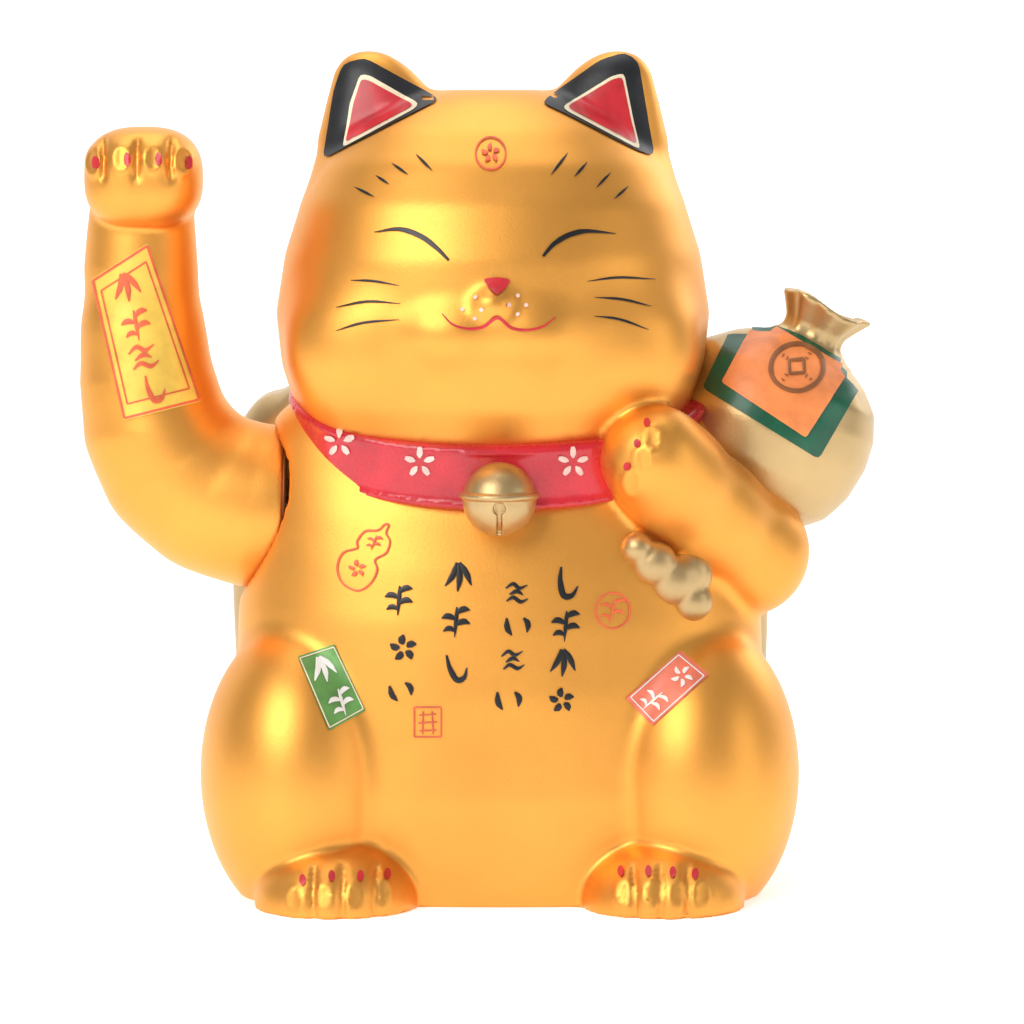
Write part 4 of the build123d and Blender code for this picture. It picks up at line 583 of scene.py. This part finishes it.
for a, b in (((-24.9, 50.0), (-17.1, 50.0)), ((-17.1, 50.0), (-17.1, 41.3)), ((-17.1, 41.3), (-24.9, 41.3)), ((-24.9, 41.3), (-24.9, 50.0)),
             ((-23.4, 47.7), (-18.5, 48.0)), ((-23.7, 45.4), (-18.2, 45.7)), ((-23.4, 43.1), (-18.5, 43.3)), ((-22.3, 48.8), (-22.5, 42.2)),
             ((-19.7, 48.8), (-19.4, 42.2))):
    stroke(on_figure, "seal", [a, b], 0.5, 0.35, (1, 1))

# Knee labels and the arm's label
def frame_of(tree, colour, corners, share, width, lift):
    middle = sum((Vector(c) for c in corners), Vector((0, 0))) / len(corners)
    inner = [tuple(middle + (Vector(c) - middle) * share) for c in corners]
    for a, b in zip(inner, inner[1:] + inner[:1]):
        stroke(tree, colour, [a, b], width, lift, (1, 1))


green = [(-58.7, 64.7), (-48.0, 68.5), (-39.0, 49.1), (-49.7, 43.1)]
patch(on_figure, "leaf", green, 0.35, 1.6, corner=0.5)
frame_of(on_figure, "cream", green, 0.93, 0.35, 0.5)
mark(on_figure, "white", "bamboo", -51.4, 61.0, 4.1, 0.35, 1.1, 0.6)
mark(on_figure, "white", "sprig", -46.0, 51.4, 4.0, 0.35, 1.0, 0.6)
coral = [(36.4, 52.6), (52.3, 66.5), (60.7, 59.5), (44.4, 44.5)]
patch(on_figure, "coral", coral, 0.35, 1.6, corner=0.5)
frame_of(on_figure, "white", coral, 0.88, 0.35, 0.5)
mark(on_figure, "white", "plum", 52.9, 59.0, 3.6, 0.6, 0.8, 0.6)
mark(on_figure, "white", "sprig", 44.5, 51.7, 3.8, -0.8, 0.8, 0.6)
badge = [(-117.3, 174.3), (-101.4, 184.7), (-86.4, 139.0), (-108.4, 133.5)]
patch(on_arm, "arm:yellow", badge, 0.35, 1.6, corner=0.5)
frame_of(on_arm, "arm:seal", badge, 0.97, 0.7, 0.5)
frame_of(on_arm, "arm:seal", badge, 0.80, 0.5, 0.5)
for kind, x, z in (("bamboo", -107.5, 172.0), ("sprig", -104.6, 161.0), ("ripple", -102.6, 151.7), ("hook", -99.7, 142.8)):
    mark(on_arm, "arm:seal", kind, x, z, 4.4, 0.25, 1.0, 0.6)

# Claws: red almonds on every paw
for tree, colour, spots, tall in (
    (on_arm, "arm:red", ((-115.9, 207.8), (-106.9, 208.7), (-98.0, 208.7), (-89.3, 207.8)), 2.0),
    (on_figure, "red", ((-57.5, -0.9), (-49.1, 0.3), (-40.7, 0.3), (-32.9, 0.9), (35.3, 1.7), (43.3, 1.7), (50.4, 1.4), (56.9, 0.9)), 1.75),
    (on_figure, "red", ((42.5, 132.9), (39.7, 126.9), (36.8, 120.2)), 1.3)):
    for x, z in spots:
        disc(tree, colour, x, z, 0.95, 0.4, tall, 0.8)

# Collar blossoms
for x, z in ((-46.2, 127.4), (-23.1, 121.4), (21.1, 121.4)):
    for k in range(5):
        turn = math.pi / 2 + 1.2566 * k
        near, far = (1.3, 4.4)
        stroke(on_collar, "pink", [(x + near * math.cos(turn), z + near * math.sin(turn)),
                                   (x + far * math.cos(turn), z + far * math.sin(turn))], 1.7, 0.35, (0.25, 0.6))

# Money bag's cloth label: green border, orange field and a coin
patch(on_bag, "green", [(68.8, 164.4), (58.7, 142.8), (91.9, 122.5), (105.5, 146.5), (86.7, 158.1)], 0.7, 1.8, corner=1.5)
patch(on_bag, "orange", [(74.3, 163.3), (64.2, 144.5), (88.1, 128.6), (100.6, 148.0), (86.7, 156.1)], 1.0, 1.8, corner=0.8)
cx, cz = (85.3, 148.5)
ring = [(cx + 7.4 * math.cos(t / 10 * math.pi), cz + 6.6 * math.sin(t / 10 * math.pi)) for t in range(21)]
stroke(on_bag, "brown", ring, 1.3, 1.3, (1, 1), 2)
for a, b in (((-2, -2), (2.2, -1.6)), ((2.2, -1.6), (2, 2.2)), ((2, 2.2), (-2.2, 1.8)), ((-2.2, 1.8), (-2, -2))):
    stroke(on_bag, "brown", [(cx + a[0], cz + a[1]), (cx + b[0], cz + b[1])], 0.9, 1.3, (1, 1))
for turn in (0.8, 2.4, 3.9, 5.5):
    mark(on_bag, "brown", "pair", cx + 4.6 * math.cos(turn), cz + 4.2 * math.sin(turn), 1.1, turn, 1.0, 1.3)

for colour, (verts, faces) in paint.items():
    body = "figure"
    if colour.startswith("arm:"):
        body, colour = "arm", colour[4:]
    mesh = bpy.data.meshes.new(f"painted_{colour}_{body}")
    mesh.from_pydata([tuple(v * MM) for v in verts], [], faces)
    mesh.validate()
    mesh.polygons.foreach_set("use_smooth", np.ones(len(mesh.polygons), bool))
    piece = link(mesh, mesh.name)
    mesh.materials.append(PAINTS[colour])
    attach(piece, body)

# ---- Working parts keep their CAD shapes and get real finishes ----
FINISHES = {
    "black_plastic": material("black_plastic", (0.02, 0.02, 0.022), 0, 0.55, 0.2, 120, 0.4, 2500),
    "grey_plastic": material("grey_plastic", (0.3, 0.3, 0.31), 0, 0.5, 0.1, 120, 0.3, 2500),
    "white_plastic": material("white_plastic", (0.8, 0.79, 0.74), 0, 0.45, 0.05, 120, 0.2, 2000),
    "steel": material("zinc_steel", (0.6, 0.61, 0.63), 1, 0.3, 0.1, 300, 0.2, 3000),
    "nickel_plate": material("nickel", (0.68, 0.66, 0.6), 1, 0.22, 0.08, 300, 0.1, 3000),
    "brass": material("turned_brass", (0.75, 0.55, 0.25), 1, 0.28, 0.1, 300, 0.1, 3000),
    "enamelled_wire": material("copper_wire", (0.5, 0.16, 0.05), 0.8, 0.3, 0.2, 900, 0.6, 5000),
    "soft_iron": material("soft_iron", (0.25, 0.25, 0.27), 1, 0.5, 0.15, 300, 0.3, 2000),
    "weight_metal": material("weight_metal", (0.4, 0.41, 0.43), 1, 0.42, 0.15, 200, 0.3, 1500),
    "magnet_metal": material("magnet_metal", (0.62, 0.62, 0.64), 1, 0.2, 0.08, 200, 0.1, 1500),
    "board_laminate": material("board_laminate", (0.4, 0.26, 0.08), 0, 0.5, 0.15, 200, 0.2, 1500),
    "component_black": material("component_black", (0.02, 0.02, 0.02), 0, 0.5, 0.2, 200, 0.2, 2000),
    "component_sleeve": material("component_sleeve", (0.03, 0.06, 0.25), 0, 0.3, 0.1, 200, 0.1, 2000),
    "cell_sleeve": material("cell_sleeve", (0.18, 0.2, 0.23), 0.2, 0.3, 0.15, 150, 0.1, 2000),
    "wire_red": material("wire_red", (0.5, 0.03, 0.03), 0, 0.5, 0.1, 200, 0.1, 2000),
    "wire_black": material("wire_black", (0.02, 0.02, 0.02), 0, 0.5, 0.1, 200, 0.1, 2000),
    "wire_yellow": material("wire_yellow", (0.6, 0.45, 0.06), 0, 0.5, 0.1, 200, 0.1, 2000),
    "gold_shell": GOLD, "gold_trim": GOLD, "red_enamel": RED, "bag_cloth": CHAMPAGNE, "green_label": PAINTS["green"],
}
for entry in frame["record"]["subparts"]:
    node = frame["nodes"][entry["node"]]
    node.data.materials.clear()
    node.data.materials.append(FINISHES[entry["material_slot"]])

# ---- Floor, light and camera ----
sweep_line = [(-4, 0), (1.2, 0)] + [(1.2 + 0.9 * math.sin(t), 0.9 - 0.9 * math.cos(t)) for t in np.linspace(0.1, 1.57, 15)]
sweep_line.append((2.1, 4.0))
sweep = bpy.data.meshes.new("studio_sweep")
sweep.from_pydata([(x, y, z) for y, z in sweep_line for x in (-5, 5)], [],
                  [(2 * i, 2 * i + 1, 2 * i + 3, 2 * i + 2) for i in range(len(sweep_line) - 1)])
sweep.polygons.foreach_set("use_smooth", np.ones(len(sweep.polygons), bool))
floor = link(sweep, "studio_floor")
pale = material("pale_floor", (0.93, 0.93, 0.93), 0, 0.6, 0.01, 8, 0.02, 300)
pale.node_tree.nodes["Principled BSDF"].inputs["Emission Color"].default_value = (1, 1, 1, 1)
pale.node_tree.nodes["Principled BSDF"].inputs["Emission Strength"].default_value = 0.52
sweep.materials.append(pale)


def area_light(name, place, target, size, power, colour=(1, 1, 1)):
    data = bpy.data.lights.new(name, "AREA")
    data.shape, data.size, data.energy, data.color = "SQUARE", size, power, colour
    lamp = bpy.data.objects.new(name, data)
    lamp.location = place
    lamp.rotation_euler = (Vector(target) - Vector(place)).to_track_quat("-Z", "Y").to_euler()
    bpy.context.scene.collection.objects.link(lamp)


area_light("key", (-0.75, -1.1, 0.95), (0, 0, 0.12), 1.0, 15, (1, 0.98, 0.95))
area_light("fill", (1.5, -0.7, 0.5), (0, 0, 0.12), 0.8, 2.5)
area_light("top", (-0.1, 0.2, 1.5), (0, 0, 0.1), 1.0, 6)
area_light("rim", (1.0, 1.0, 0.8), (0, 0, 0.15), 0.8, 3)
world = bpy.data.worlds.new("studio")
bpy.context.scene.world = world
world.use_nodes = True
world.node_tree.nodes["Background"].inputs["Color"].default_value = (1, 1, 1, 1)
world.node_tree.nodes["Background"].inputs["Strength"].default_value = 0.36
bpy.context.scene.view_settings.view_transform = "Standard"

camera_data = bpy.data.cameras.new("camera")
camera_data.lens, camera_data.sensor_width = 158.0, 36.0
camera = bpy.data.objects.new("camera", camera_data)
camera.location = VIEW_POINT * MM
camera.rotation_euler = (Vector((0.0035, 0, 0.107)) - camera.location).to_track_quat("-Z", "Y").to_euler()
bpy.context.scene.collection.objects.link(camera)
bpy.context.scene.camera = camera

bpy.context.view_layer.update()
